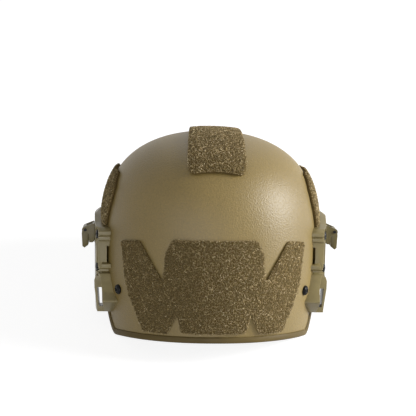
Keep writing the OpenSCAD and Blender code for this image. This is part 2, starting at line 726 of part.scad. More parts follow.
// An outline in distance from the rail's axis and height, across the clip.
module clip_prism(width) {
    translate([0, width / 2, 0]) rotate([90, 0, 0]) linear_extrude(width) children();
}
module clip_sweep() {
    half = asin(clip_width / 2 / rail_curve);
    rotate([0, 0, -half]) rotate_extrude(angle = 2 * half, $fn = arc_fn) children();
}
module strap_clip_base() {
    r = rail_curve;
    zc = channel_height;
    g = slide_gap;
    m = channel_mouth / 2 - g;
    f = channel_floor / 2 - 1.4 * g;
    eye = clip_pin / 2 + 1.9;
    at_clip() difference() {
        union() {
            clip_sweep() polygon([
                [r - channel_depth + g, zc - f], [r - 0.8, zc - m], [r + g, zc - m],
                [r + g, zc - 9], [r + g + plate_thick, zc - 8], [r + g + plate_thick, zc + 9],
                [r + g, zc + 10], [r + g, zc + m], [r - 0.8, zc + m],
                [r - channel_depth + g, zc + f]]);
            for (s = [-1, 1]) translate([0, s * (clip_width - ear_thick) / 2, 0]) {
                clip_prism(ear_thick) polygon([
                    [r + 1.6, zc - 9.5], [hinge_out - 4, zc - 9.5], [hinge_out - 3.6, zc - 1],
                    [hinge_out + eye * 0.6, hinge_up - eye * 0.8],
                    [hinge_out + eye * 0.6, hinge_up + eye * 0.8],
                    [r + 1.6, zc + 10.2]]);
                translate([hinge_out, 0, hinge_up]) rotate([90, 0, 0])
                    cylinder(r = eye, h = ear_thick, center = true);
            }
        }
        translate([hinge_out, 0, hinge_up]) rotate([90, 0, 0])
            cylinder(d = clip_pin + 2 * run_gap, h = 2 * clip_width, center = true);
        // Grip notch in the plate's lower edge
        translate([r - 1 + channel_depth, -4, zc - 12]) cube([8, 8, 6]);
    }
}
module strap_clip_pin() {
    at_clip() translate([hinge_out, 0, hinge_up]) rotate([90, 0, 0])
        cylinder(d = clip_pin, h = clip_width + 1.2, center = true);
}
module strap_clip_loop() {
    wide = clip_width - 2 * ear_thick - 2 * slide_gap;
    t = clip_thick;
    barrel = clip_pin / 2 + 1.8;
    bar = 2.6;
    at_clip() difference() {
        union() {
            translate([hinge_out, 0, hinge_up]) rotate([90, 0, 0])
                cylinder(r = barrel, h = wide, center = true);
            clip_prism(wide) polygon([
                [hinge_out - barrel * 0.7, hinge_up - 1], [hinge_out - t * 0.5, hinge_up - 6],
                [hinge_out - t * 0.42, hinge_up - clip_drop + 2.8],
                [hinge_out + t * 0.16, hinge_up - clip_drop],
                [hinge_out + t * 0.5, hinge_up - clip_drop + 1.6],
                [hinge_out + t * 0.6, hinge_up - 4], [hinge_out + t * 0.52, hinge_up + 0.5]]);
        }
        translate([hinge_out, 0, hinge_up]) rotate([90, 0, 0])
            cylinder(d = clip_pin + 2 * run_gap, h = 2 * clip_width, center = true);
        // Window for the strap
        translate([hinge_out - t, -wide / 2 + bar, hinge_up - clip_drop + 5.5])
            cube([3 * t, wide - 2 * bar, clip_drop - 5.5 - barrel - 1]);
    }
}
module strap_clip_base_right() {
    color(rail_color * 0.95) stand() strap_clip_base();
}
module strap_clip_base_left() {
    color(rail_color * 0.95) stand() left_side() strap_clip_base();
}
module strap_clip_loop_right() {
    color(rail_color) stand() strap_clip_loop();
}
module strap_clip_loop_left() {
    color(rail_color) stand() left_side() strap_clip_loop();
}
module strap_clip_pin_right() {
    color(black_color) stand() strap_clip_pin();
}
module strap_clip_pin_left() {
    color(black_color) stand() left_side() strap_clip_pin();
}

// Front shroud
// A low plate on the brow whose opening takes a mount plate from above.

shroud_sites = [[180, shroud_height + 15], [170.3, shroud_height - 13],
                [189.7, shroud_height - 13]];
shroud_seat = 3;
module on_brow(d = 0) {
    on_wall(180, shroud_height, d) children();
}
module at_shroud(s) {
    on_wall(s[0], s[1], shroud_seat) children();
}
module front_shroud() {
    half = [[shroud_half, 13, 5], [shroud_half - 3, -8, 8], [shroud_half - 8, -21, 4],
            [14, -21, 3], [10, -17, 3]];
    outline = rounded(concat([[14, shroud_up, 5]], half, [for (p = backwards(half)) [-p[0], p[1], p[2]]],
        [[-14, shroud_up, 5]]), 4);
    slot = shroud_slot_half;
    color(black_color + [0.05, 0.05, 0.05]) stand() difference() {
        on_brow() translate([0, 0, -12]) linear_extrude(12 + shroud_thick) polygon(outline);
        skin_block(150, 210, shroud_height - 34, shroud_height + 34, seat_gap, -30, 8);
        on_brow() {
            // Opening with undercut sides, closed below
            translate([-slot, -12, shroud_thick - 3.4]) cube([2 * slot, 20, 8]);
            translate([-slot - 2, -12, shroud_thick - 3.4]) cube([2 * slot + 4, 20, 1.6]);
            // Lock recess in the floor of the opening
            translate([-5, -16.5, shroud_thick - 2]) cube([10, 6, 8]);
        }
        for (s = shroud_sites) at_shroud(s) {
            translate([0, 0, -10]) cylinder(d = rail_screw + 2 * hole_gap, h = 20);
            cylinder(d = rail_screw_head + 2 * hole_gap, h = 10);
        }
    }
}
module shroud_screws() {
    color(black_color) stand() for (s = shroud_sites)
        at_shroud(s) screw(rail_screw, rail_screw_head, shroud_seat + shell_wall);
}
module shroud_nuts() {
    color(black_color) stand() for (s = shroud_sites) wall_nut(s[0], s[1], rail_screw);
}

// Pads
// A pad is [angle, height, half length, half height] on the wall.

front_pad_site = [180, brow_height + 36, 58, 19];
rear_pad_site = [0, rear_bolt_height + 14.5, 50, 24];
rear_side_site = [45, channel_height + 3, 27, 27];
front_side_site = [129, channel_height + 19, 27, 19];
crown_pad_radius = 60;
crown_pad_place = 6;
pad_back = disc_thick + 3 * seat_gap;

// A place on a pad's own grid, taken in along the wall and then inwards.
function pad_spot(site, s, t, depth) =
    let(p = on_skin(site[0], site[1]), n = outward(p),
        a = site[0] + s * 180 / PI / norm([p[0], p[1]]),
        z = site[1] + t * norm([n[0], n[1]]))
    inside(a, z, depth);
function crown_spot(s, t, depth) = off_dome(s, crown_pad_place + t, -(shell_wall + depth));
function squircle(t, power) =
    [sign(cos(t)) * pow(abs(cos(t)), 2 / power), sign(sin(t)) * pow(abs(sin(t)), 2 / power)];
// Share of the outline and of the thickness, from the back's middle to the front's.
cushion = [[0.5, 0], [0.94, 0], [1, 0.22], [1.02, 0.5], [0.98, 0.76], [0.86, 0.92], [0.5, 1]];

module wall_pad(site) {
    rings = [for (c = cushion) [for (t = [345:-15:0])
        let(q = squircle(t, 3.6))
        pad_spot(site, q[0] * site[2] * c[0], q[1] * site[3] * c[0], pad_back + pad_thick * c[1])]];
    skin_cushion(rings, pad_spot(site, 0, 0, pad_back),
                 pad_spot(site, 0, 0, pad_back + pad_thick * 1.02));
}
module crown_pad() {
    r = crown_pad_radius;
    rings = [for (c = cushion) [for (t = [345:-15:0])
        crown_spot(cos(t) * r * c[0], sin(t) * r * c[0], pad_back + pad_thick * c[1])]];
    color(pad_color) stand() skin_cushion(rings, crown_spot(0, 0, pad_back),
        crown_spot(0, 0, pad_back + pad_thick * 1.02));
}
module front_pad() {
    color(pad_color) stand() wall_pad(front_pad_site);
}
module rear_pad() {
    color(pad_color) stand() wall_pad(rear_pad_site);
}
module rear_side_pad_right() {
    color(pad_color) stand() wall_pad(rear_side_site);
}
module rear_side_pad_left() {
    color(pad_color) stand() left_side() wall_pad(rear_side_site);
}
module front_side_pad_right() {
    color(pad_color) stand() wall_pad(front_side_site);
}
module front_side_pad_left() {
    color(pad_color) stand() left_side() wall_pad(front_side_site);
}

module wall_disc(site) {
    d0 = 1.5 * seat_gap;
    rings = [for (d = [d0, d0 + disc_thick]) [for (t = [330:-30:0])
        pad_spot(site, disc_radius * cos(t), disc_radius * sin(t), d)]];
    skin_cushion(rings, pad_spot(site, 0, 0, d0), pad_spot(site, 0, 0, d0 + disc_thick));
}
module hook_discs() {
    color(pad_color * 0.7) stand() {
        for (side = [0, 1]) mirror([side, 0, 0]) {
            wall_disc(rear_side_site);
            wall_disc(front_side_site);
            wall_disc([front_pad_site[0] - 20, front_pad_site[1]]);
            wall_disc([rear_pad_site[0] + 12, rear_pad_site[1]]);
        }
        d0 = 1.5 * seat_gap;
        rings = [for (d = [d0, d0 + disc_thick]) [for (t = [330:-30:0])
            crown_spot(disc_radius * cos(t), disc_radius * sin(t), d)]];
        skin_cushion(rings, crown_spot(0, 0, d0), crown_spot(0, 0, d0 + disc_thick));
    }
}

// Harness
// Webbing runs along lists of [angle, height, depth below the inside face].

function web_path(list, n = 3) =
    let(m = len(list) - 1)
    concat([for (i = [0:m - 1]) for (k = [0:n - 1])
        let(a = list[max(0, i - 1)], b = list[i], c = list[i + 1], d = list[min(m, i + 2)],
            t = k / n)
        0.5 * (2 * b + (c - a) * t + (2 * a - 5 * b + 4 * c - d) * t * t
            + (3 * b - a - 3 * c + d) * t * t * t)], [list[m]]);
module webbing(list, n = 3, width = web_width) {
    path = web_path(list, n);
    spots = [for (p = path) inside(p[0], p[1], p[2])];
    norms = [for (p = path) outward(on_skin(p[0], p[1]))];
    m = len(path) - 1;
    skin_rings([for (i = [0:m])
        let(way = unit(spots[min(m, i + 1)] - spots[max(0, i - 1)]),
            e2 = unit(cross(way, norms[i])), e1 = cross(e2, way),
            w = width / 2, t = web_thick / 2)
        [spots[i] + e1 * t + e2 * w, spots[i] - e1 * t + e2 * w,
         spots[i] - e1 * t - e2 * w, spots[i] + e1 * t - e2 * w]]);
}
module bolt_hole() {
    on_wall(rear_bolt_angle, rear_bolt_height, -40)
        cylinder(d = harness_bolt + 2 * hole_gap, h = 60);
}

nape_pad_site = [0, 21, 44, 10];
nape_depth = web_seat + web_thick / 2;
nape_back = 4.6;
nape_thick = 8;
module nape_pad() {
    rings = [for (c = cushion) [for (t = [345:-15:0])
        let(q = squircle(t, 3))
        pad_spot(nape_pad_site, q[0] * nape_pad_site[2] * c[0], q[1] * nape_pad_site[3] * c[0],
            nape_back + nape_thick * c[1])]];
    color(pad_color) stand() skin_cushion(rings, pad_spot(nape_pad_site, 0, 0, nape_back),
        pad_spot(nape_pad_site, 0, 0, nape_back + nape_thick * 1.02));
}
module nape_strap() {
    b = rear_bolt_angle;
    h = rear_bolt_height;
    difference() {
        webbing([[b + 2.2, h + 3, nape_depth], [b - 2, h - 3, nape_depth],
                 [b - 10, h - 13, 2.2], [b - 20, 25, 3.4], [14, 21, 3.4]]);
        bolt_hole();
    }
}
module nape_strap_right() {
    color(web_color) stand() nape_strap();
}
module nape_strap_left() {
    color(web_color) stand() left_side() nape_strap();
}

rear_tab = nape_depth + web_thick + web_seat;
// The webbing lies on both faces of the adjuster's frame.
adjuster_depth = 10.4;
adjuster_thick = 3.6;
outer_web = adjuster_depth - adjuster_thick - web_thick / 2 - 2 * slide_gap;
inner_web = adjuster_depth + web_thick / 2 + slide_gap;
module rear_strap() {
    b = rear_bolt_angle;
    h = rear_bolt_height;
    difference() {
        webbing([[b - 3, h - 4, rear_tab], [b + 3, h + 4, rear_tab], [b + 12, h + 16, 5.4],
                 [b + 24, h + 33, 5.8], [adjuster_angle - 2.5, adjuster_height - 2, outer_web]]);
        bolt_hole();
    }
}
module rear_strap_right() {
    color(web_color) stand() rear_strap();
}
module rear_strap_left() {
    color(web_color) stand() left_side() rear_strap();
}

// The front strap is held under the nut of the rail's foremost screw.
front_site = rail_sites[3];
module front_strap() {
    b = front_site[0];
    h = front_site[1] + 2.6;
    difference() {
        webbing([[b + 4.4, h, nape_depth], [b - 3, h, nape_depth], [b - 9, h + 0.5, 2.8],
                 [b - 17, h + 2, 4.2], [b - 25, h + 3.5, 5.6],
                 [adjuster_angle + 2.5, adjuster_height - 2, outer_web]]);
        on_wall(front_site[0], front_site[1], -30)
            cylinder(d = barrel_wide(rail_screw) + 2 * hole_gap, h = 40);
    }
}
module front_strap_right() {
    color(web_color) stand() front_strap();
}
module front_strap_left() {
    color(web_color) stand() left_side() front_strap();
}

module at_inside(a, z, depth) {
    on_wall(a, z, -(shell_wall + depth)) children();
}
module strap_adjuster() {
    long = 22;
    tall = web_width + 6;
    at_inside(adjuster_angle, adjuster_height - 2, adjuster_depth) difference() {
        linear_extrude(adjuster_thick) polygon(rounded([
            [-long / 2, -tall / 2, 3], [long / 2, -tall / 2, 3],
            [long / 2, tall / 2, 3], [-long / 2, tall / 2, 3]]));
        for (x = [-7.5, -1.6, 4.3])
            translate([x, -web_width / 2 - 0.6, -1]) cube([3.2, web_width + 1.2, 6]);
    }
}
module strap_adjuster_right() {
    color(black_color) stand() strap_adjuster();
}
module strap_adjuster_left() {
    color(black_color) stand() left_side() strap_adjuster();
}

chin_depth = pad_back + pad_thick + 4.8;
buckle_height = channel_height - 17;
module chin_strap_right() {
    color(web_color) stand()
        webbing([[adjuster_angle - 3, adjuster_height - 2, inner_web + 0.2],
                 [adjuster_angle + 3, adjuster_height - 2.5, inner_web + 0.3],
                 [adjuster_angle + 13, chin_height + 2, 15], [buckle_angle, buckle_height, 18],
                 [buckle_angle + 16, buckle_height, chin_depth - 1],
                 [152, chin_height - 1, chin_depth],
                 [cup_end - 1, chin_height, chin_depth]]);
}
// Angle at which the cup ends, measured along the strap's own curve.
cup_middle = inside(180, chin_height, chin_depth);
cup_end = 180 - asin(cup_half / norm([cup_middle[0], cup_middle[1]]));
module chin_strap_left() {
    color(web_color) stand() left_side()
        webbing([[adjuster_angle - 3, adjuster_height - 2, inner_web + 0.2],
                 [adjuster_angle + 3, adjuster_height - 2.5, inner_web + 0.3],
                 socket_web[0], socket_web[1]]);
}
buckle_depth = 17.5;
plug_body = 11;
// The buckle's own frame: +X toward the chin cup.
buckle_origin = inside(buckle_angle, buckle_height, buckle_depth);
buckle_normal = outward(on_skin(buckle_angle, buckle_height));
function buckle_point(x) =
    let(t = atan2(buckle_normal[1], buckle_normal[0])) buckle_origin + x * [-sin(t), cos(t), 0];
socket_web = [for (x = [12, 1.3]) place_of(buckle_point(-socket_length / 2 - x))];
plug_web = [for (x = [0.9, 9])
    place_of(buckle_point(socket_length / 2 + slide_gap + plug_body + x))];
buckle_wide = 26;
buckle_thick = 8;
prong_reach = 15;
// The buckle lies with +X toward the chin cup.
module at_buckle() {
    left_side() at_inside(buckle_angle, buckle_height, buckle_depth) children();
}
module buckle_socket() {
    l = socket_length;
    w = buckle_wide;
    t = buckle_thick;
    color(black_color) stand() at_buckle() difference() {
        translate([-l / 2, 0, -t / 2]) linear_extrude(t) polygon(rounded([
            [0, -w / 2 + 3, 3], [l - 8, -w / 2, 4], [l, -w / 2 + 1, 1],
            [l, w / 2 - 1, 1], [l - 8, w / 2, 4], [0, w / 2 - 3, 3]]));
        // Mouth for the prongs
        translate([-l / 2 + 7, -w / 2 + 3.2, -t / 2 + 1.8]) cube([l, w - 6.4, t - 3.6]);
        // Side windows where the prongs spring out
        translate([-l / 2 + 9, -w / 2 - 1, -t / 2 + 1.8]) cube([7, w + 2, t - 3.6]);
        // Slot for the webbing
        translate([-l / 2 + 1.8, -web_width / 2 + 0.8, -t]) cube([2.6, web_width - 1.6, 2 * t]);
    }
}
module buckle_plug() {
    l = socket_length;
    w = buckle_wide;
    t = buckle_thick;
    g = slide_gap;
    color(black_color) stand() at_buckle() translate([l / 2 + g, 0, 0]) difference() {
        union() {
            translate([0, 0, -t / 2]) linear_extrude(t) polygon(rounded([
                [0, -w / 2 + 1, 1], [plug_body, -w / 2 + 3, 3],
                [plug_body, w / 2 - 3, 3], [0, w / 2 - 1, 1]]));
            for (s = [-1, 1]) scale([1, s, 1]) translate([0, 0, -t / 2 + 1.8 + g])
                linear_extrude(t - 3.6 - 2 * g) polygon([
                    [1, 4.2], [1, 8.4], [-6, 8.6], [-8, 9.4], [-prong_reach, 8.6],
                    [-prong_reach, 6.4], [-8, 5.4]]);
            translate([-prong_reach + 2, -1.2, -t / 2 + 1.8 + g])
                cube([prong_reach, 2.4, t - 3.6 - 2 * g]);
        }
        translate([4.4, -web_width / 2 + 0.8, -t]) cube([2.6, web_width - 1.6, 2 * t]);
    }
}
module buckle_webbing() {
    color(web_color) stand() left_side()
        webbing([plug_web[0], plug_web[1], [146, chin_height - 2, chin_depth - 2],
                 [152, chin_height - 1, chin_depth], [cup_end - 1, chin_height, chin_depth]]);
}
// The cup is a dished strip that stands a little higher than the webbing.
module chin_cup() {
    function bowl(s, t, d) = inside(180 + s, chin_height + t * 15, chin_depth + d - 3.2
        + 3.2 * t * t);
    span = 180 - cup_end;
    rows = [for (i = [-4:4]) i / 4];
    cols = [for (j = [-6:6]) j / 6];
    color(black_color + [0.08, 0.08, 0.07]) stand() skin_slab(
        [for (t = rows) [for (s = cols) bowl(s * span, t * (1 - 0.25 * s * s), 0)]],
        [for (t = rows) [for (s = cols) bowl(s * span, t * (1 - 0.25 * s * s), cup_thick)]]);
}

shell();
edge_trim();
crown_loop_patch();
rear_loop_patch();
side_loop_patch_right();
side_loop_patch_left();
rail_right();
rail_left();
rail_screws_right();
rail_screws_left();
rail_nuts_right();
rail_nuts_left();
harness_bolts();
harness_nuts();
strap_clip_base_right();
strap_clip_base_left();
strap_clip_loop_right();
strap_clip_loop_left();
strap_clip_pin_right();
strap_clip_pin_left();
front_shroud();
shroud_screws();
shroud_nuts();
hook_discs();
crown_pad();
front_pad();
rear_pad();
rear_side_pad_right();
rear_side_pad_left();
front_side_pad_right();
front_side_pad_left();
nape_pad();
nape_strap_right();
nape_strap_left();
rear_strap_right();
rear_strap_left();
front_strap_right();
front_strap_left();
strap_adjuster_right();
strap_adjuster_left();
chin_strap_right();
chin_strap_left();
buckle_socket();
buckle_plug();
buckle_webbing();
chin_cup();
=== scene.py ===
"""Looks for a high-cut combat helmet seen from behind.

The helmet's own lengths are in millimetres in the wearing frame: X to the
wearer's right, Y forward, Z up from the rim's rear corners. place() turns them
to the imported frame, in metres, in which the helmet stands on its rim.
"""

import math
import random

import bmesh
import bpy
from mathutils import Matrix, Vector, noise
from mathutils.bvhtree import BVHTree


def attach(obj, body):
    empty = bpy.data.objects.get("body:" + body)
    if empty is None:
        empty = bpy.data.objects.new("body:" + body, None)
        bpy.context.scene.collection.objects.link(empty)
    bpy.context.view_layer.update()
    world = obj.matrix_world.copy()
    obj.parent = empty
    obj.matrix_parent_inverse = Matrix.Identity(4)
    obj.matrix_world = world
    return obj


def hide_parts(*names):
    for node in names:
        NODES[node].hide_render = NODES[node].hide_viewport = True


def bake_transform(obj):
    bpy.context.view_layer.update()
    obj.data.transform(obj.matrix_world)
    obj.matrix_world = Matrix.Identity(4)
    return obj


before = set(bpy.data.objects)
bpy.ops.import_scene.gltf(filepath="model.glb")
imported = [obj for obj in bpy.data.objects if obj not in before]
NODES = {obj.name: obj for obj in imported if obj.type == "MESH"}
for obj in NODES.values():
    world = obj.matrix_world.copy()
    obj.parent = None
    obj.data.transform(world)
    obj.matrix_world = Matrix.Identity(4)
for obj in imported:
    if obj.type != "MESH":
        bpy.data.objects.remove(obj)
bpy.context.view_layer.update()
random.seed(7)

# The helmet's form, as in the part's source
HALF_WIDTH, FRONT, REAR, WALL = 111.0, 136.0, 127.0, 8.5
WIDE_Z, DOME = 70.0, 132.0  # height of the widest place, and of the dome over it
TUCK = 3.8  # how far the foot of the wall draws in
PLAN, SIDE, TOP = 2.12, 2.15, 3.65  # powers of the plan's and the profile's curves
CORNER, EAR_REAR, EAR_FRONT, BROW = 57.0, 83.0, 116.0, 146.0  # angles of the rim
CORNER_Z, EAR_Z, BROW_Z = 2.0, 68.0, 55.0
NAPE_ARCH, BROW_ARCH = 8.0, 3.0
GAP = 0.3  # air between the shell and what lies on it
TILT = math.radians(15.6697)  # the helmet tips forward to stand on its rim
SHIFT = Vector((0, -24.5839, -17.1323))
REST = (
    Matrix.Scale(0.001, 4) @ Matrix.Translation(SHIFT) @ Matrix.Rotation(-TILT, 4, "X")
)
AS_IS, MIRROR = Matrix.Identity(4), Matrix.Scale(-1, 4, (1, 0, 0))
HANDS = (("right", AS_IS), ("left", MIRROR))


def place(p):
    """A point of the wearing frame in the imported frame."""
    return REST @ Vector(p)


def plan_scale(x, y):
    """1 on the widest outline, less inside it, seen from above."""
    length = REAR if y < 0 else FRONT
    s = (abs(x) / HALF_WIDTH) ** PLAN + (abs(y) / length) ** PLAN
    return max(1e-6, s ** (1 / PLAN))


def waist(z):
    """The plan's share of its widest outline at a height."""
    if z < WIDE_Z:
        return 1 - TUCK / HALF_WIDTH * ((WIDE_Z - z) / WIDE_Z) ** 2
    high = min(1.0, (z - WIDE_Z) / DOME)
    return max(0.0, 1 - high**TOP) ** (1 / SIDE)


def on_skin(angle, z):
    """A point on the outside at an angle from straight back and a height."""
    a = math.radians(angle)
    r = waist(z) / plan_scale(math.sin(a), -math.cos(a))
    return Vector((r * math.sin(a), -r * math.cos(a), z))


def outward(p):
    """The outward normal at a point of the outside."""
    s = plan_scale(p.x, p.y)
    length = REAR if p.y < 0 else FRONT
    gx = s ** (1 - PLAN) * abs(p.x) ** (PLAN - 1) / HALF_WIDTH**PLAN
    gy = s ** (1 - PLAN) * abs(p.y) ** (PLAN - 1) / length**PLAN
    gx, gy = math.copysign(gx, p.x), math.copysign(gy, p.y)
    w = (WIDE_Z - p.z) / WIDE_Z
    if p.z < WIDE_Z:
        n = Vector((gx, gy, -2 * TUCK / HALF_WIDTH * w / WIDE_Z))
    else:
        k = SIDE * s ** (SIDE - 1)
        n = Vector((k * gx, k * gy, TOP * ((p.z - WIDE_Z) / DOME) ** (TOP - 1) / DOME))
    return n.normalized()


def off_skin(angle, z, d):
    """A point at a distance off the outside."""
    p = on_skin(angle, z)
    return p + outward(p) * d


def inside(angle, z, depth):
    """A point at a depth below the inside of the wall."""
    return off_skin(angle, z, -WALL - depth)


def dome_point(x, y, d):
    """A point of the dome's outside, found straight above a place."""
    z = WIDE_Z + DOME * (1 - min(1, plan_scale(x, y)) ** SIDE) ** (1 / TOP)
    p = Vector((x, y, z))
    return p + outward(p) * d


def rear_point(x, z, d):
    """A point of the rear outside, found straight behind a place."""
    deep = max(1e-6, waist(z) ** PLAN - (abs(x) / HALF_WIDTH) ** PLAN)
    p = Vector((x, -REAR * deep ** (1 / PLAN), z))
    return p + outward(p) * d


def side_point(y, z, d):
    """A point of the right outside, found straight beside a place."""
    length = REAR if y < 0 else FRONT
    deep = max(1e-6, waist(z) ** PLAN - (abs(y) / length) ** PLAN)
    p = Vector((HALF_WIDTH * deep ** (1 / PLAN), y, z))
    return p + outward(p) * d


def ease(t):
    """0 to 1 with a soft start and end."""
    s = min(1.0, max(0.0, t))
    return s * s * (3 - 2 * s)


def bent(x, power):
    """A number to a power, its sign kept."""
    return math.copysign(abs(x) ** power, x)


def rim(angle):
    """Height of the rim at an angle, the same on both sides."""
    b = abs((angle + 180) % 360 - 180)
    nape = CORNER_Z + NAPE_ARCH * (1 - min(1.0, b / CORNER) ** 2)
    up = ease((b - CORNER) / (EAR_REAR - CORNER))
    down = ease((b - EAR_FRONT) / (BROW - EAR_FRONT))
    arch = BROW_ARCH * ease((b - BROW) / (180 - BROW))
    return nape + up * (EAR_Z - CORNER_Z) - down * (EAR_Z - BROW_Z) + arch


def trim_point(angle, up, d):
    """A point up the wall from the rim, then off the outside."""
    p = on_skin(angle, rim(angle))
    ahead, behind = (on_skin(angle + s, rim(angle + s)) for s in (0.5, -0.5))
    rise = outward(p).cross((ahead - behind).normalized())
    q = p + rise * up
    return off_skin(math.degrees(math.atan2(q.x, -q.y)), q.z, d)


# Making and finishing meshes

MERGE, SLIVER = 2e-6, 1e-7  # metres


def folded_grid(columns, rows, spot, size=(1.0, 1.0)):
    """A grid folded so that its shares across and up, 0 to 1, go to spot(u, v).
    size is the UV map's reach."""
    bm = bmesh.new()
    bmesh.ops.create_grid(bm, x_segments=columns, y_segments=rows, size=0.5)
    layer = bm.loops.layers.uv.new("UVMap")
    for face in bm.faces:
        for corner in face.loops:
            co = corner.vert.co
            corner[layer].uv = ((co.x + 0.5) * size[0], (co.y + 0.5) * size[1])
    for v in bm.verts:
        v.co = spot(v.co.x + 0.5, v.co.y + 0.5)
    return bm


def close_up(bm):
    """Merges what meets and turns the faces outwards."""
    bmesh.ops.remove_doubles(bm, verts=bm.verts, dist=MERGE)
    bmesh.ops.dissolve_degenerate(bm, edges=bm.edges, dist=SLIVER)
    bmesh.ops.recalc_face_normals(bm, faces=bm.faces)


def cap_ends(bm):
    """Fills the open ends of a tube and turns the faces outwards."""
    ends = [e for e in bm.edges if e.is_boundary]
    bmesh.ops.holes_fill(bm, edges=ends, sides=0)
    bmesh.ops.recalc_face_normals(bm, faces=bm.faces)


def to_mesh(bm, name):
    """Ends a bmesh as a new mesh."""
    mesh = bpy.data.meshes.new(name)
    bm.to_mesh(mesh)
    bm.free()
    return mesh


def join(whole, bm):
    """Moves one bmesh into another."""
    spare = to_mesh(bm, "spare")
    whole.from_mesh(spare)
    bpy.data.meshes.remove(spare)


def add_object(name, data):
    """A new object in the scene, at the origin."""
    obj = bpy.data.objects.new(name, data)
    bpy.context.scene.collection.objects.link(obj)
    return obj


def piece(bm, name, material, body, nodes=()):
    """Makes a mesh a piece of the object that rides on a body."""
    mesh = to_mesh(bm, name)
    for face in mesh.polygons:
        face.use_smooth = True
    obj = add_object(name, mesh)
    mesh.materials.append(material)
    if body:
        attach(obj, body)
    if nodes:
        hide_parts(*nodes)
    return obj


def modify(obj, kind, name, **settings):
    """Adds a modifier with its settings."""
    mod = obj.modifiers.new(name, kind)
    for key, value in settings.items():
        setattr(mod, key, value)
    return mod


BEVEL_ANGLE, SMOOTH_ANGLE = math.radians(30), math.radians(32)
WELD = 2e-5  # metres


def smooth_group():
    """Shades smooth across all edges but the sharp ones."""
    group = bpy.data.node_groups.new("smooth_by_angle", "GeometryNodeTree")
    socket = group.interface.new_socket
    for way in ("INPUT", "OUTPUT"):
        socket("Geometry", in_out=way, socket_type="NodeSocketGeometry")
    n, link = group.nodes, group.links.new
    first, last = n.new("NodeGroupInput"), n.new("NodeGroupOutput")
    angle = n.new("GeometryNodeInputMeshEdgeAngle")
    less = n.new("FunctionNodeCompare")
    less.data_type, less.operation = "FLOAT", "LESS_THAN"
    less.inputs["B"].default_value = SMOOTH_ANGLE
    faces, edges = (n.new("GeometryNodeSetShadeSmooth") for _ in range(2))
    faces.domain, edges.domain = "FACE", "EDGE"
    link(first.outputs[0], faces.inputs["Geometry"])
    link(faces.outputs[0], edges.inputs["Geometry"])
    link(angle.outputs["Unsigned Angle"], less.inputs["A"])
    link(less.outputs[0], edges.inputs["Shade Smooth"])
    link(edges.outputs[0], last.inputs[0])
    return group


SMOOTH = smooth_group()


def dress(name, material, bevel, segments=2):
    """Gives a CAD node its finish and softens its edges by a bevel's width."""
    obj = NODES[name]
    obj.data.materials.clear()
    obj.data.materials.append(material)
    modify(obj, "WELD", "weld", merge_threshold=WELD)
    modify(
        obj, "BEVEL", "edges", width=bevel, segments=segments,
        limit_method="ANGLE", angle_limit=BEVEL_ANGLE,
        use_clamp_overlap=True, profile=0.5,
    )
    modify(obj, "NODES", "smooth", node_group=SMOOTH)


# Finishes


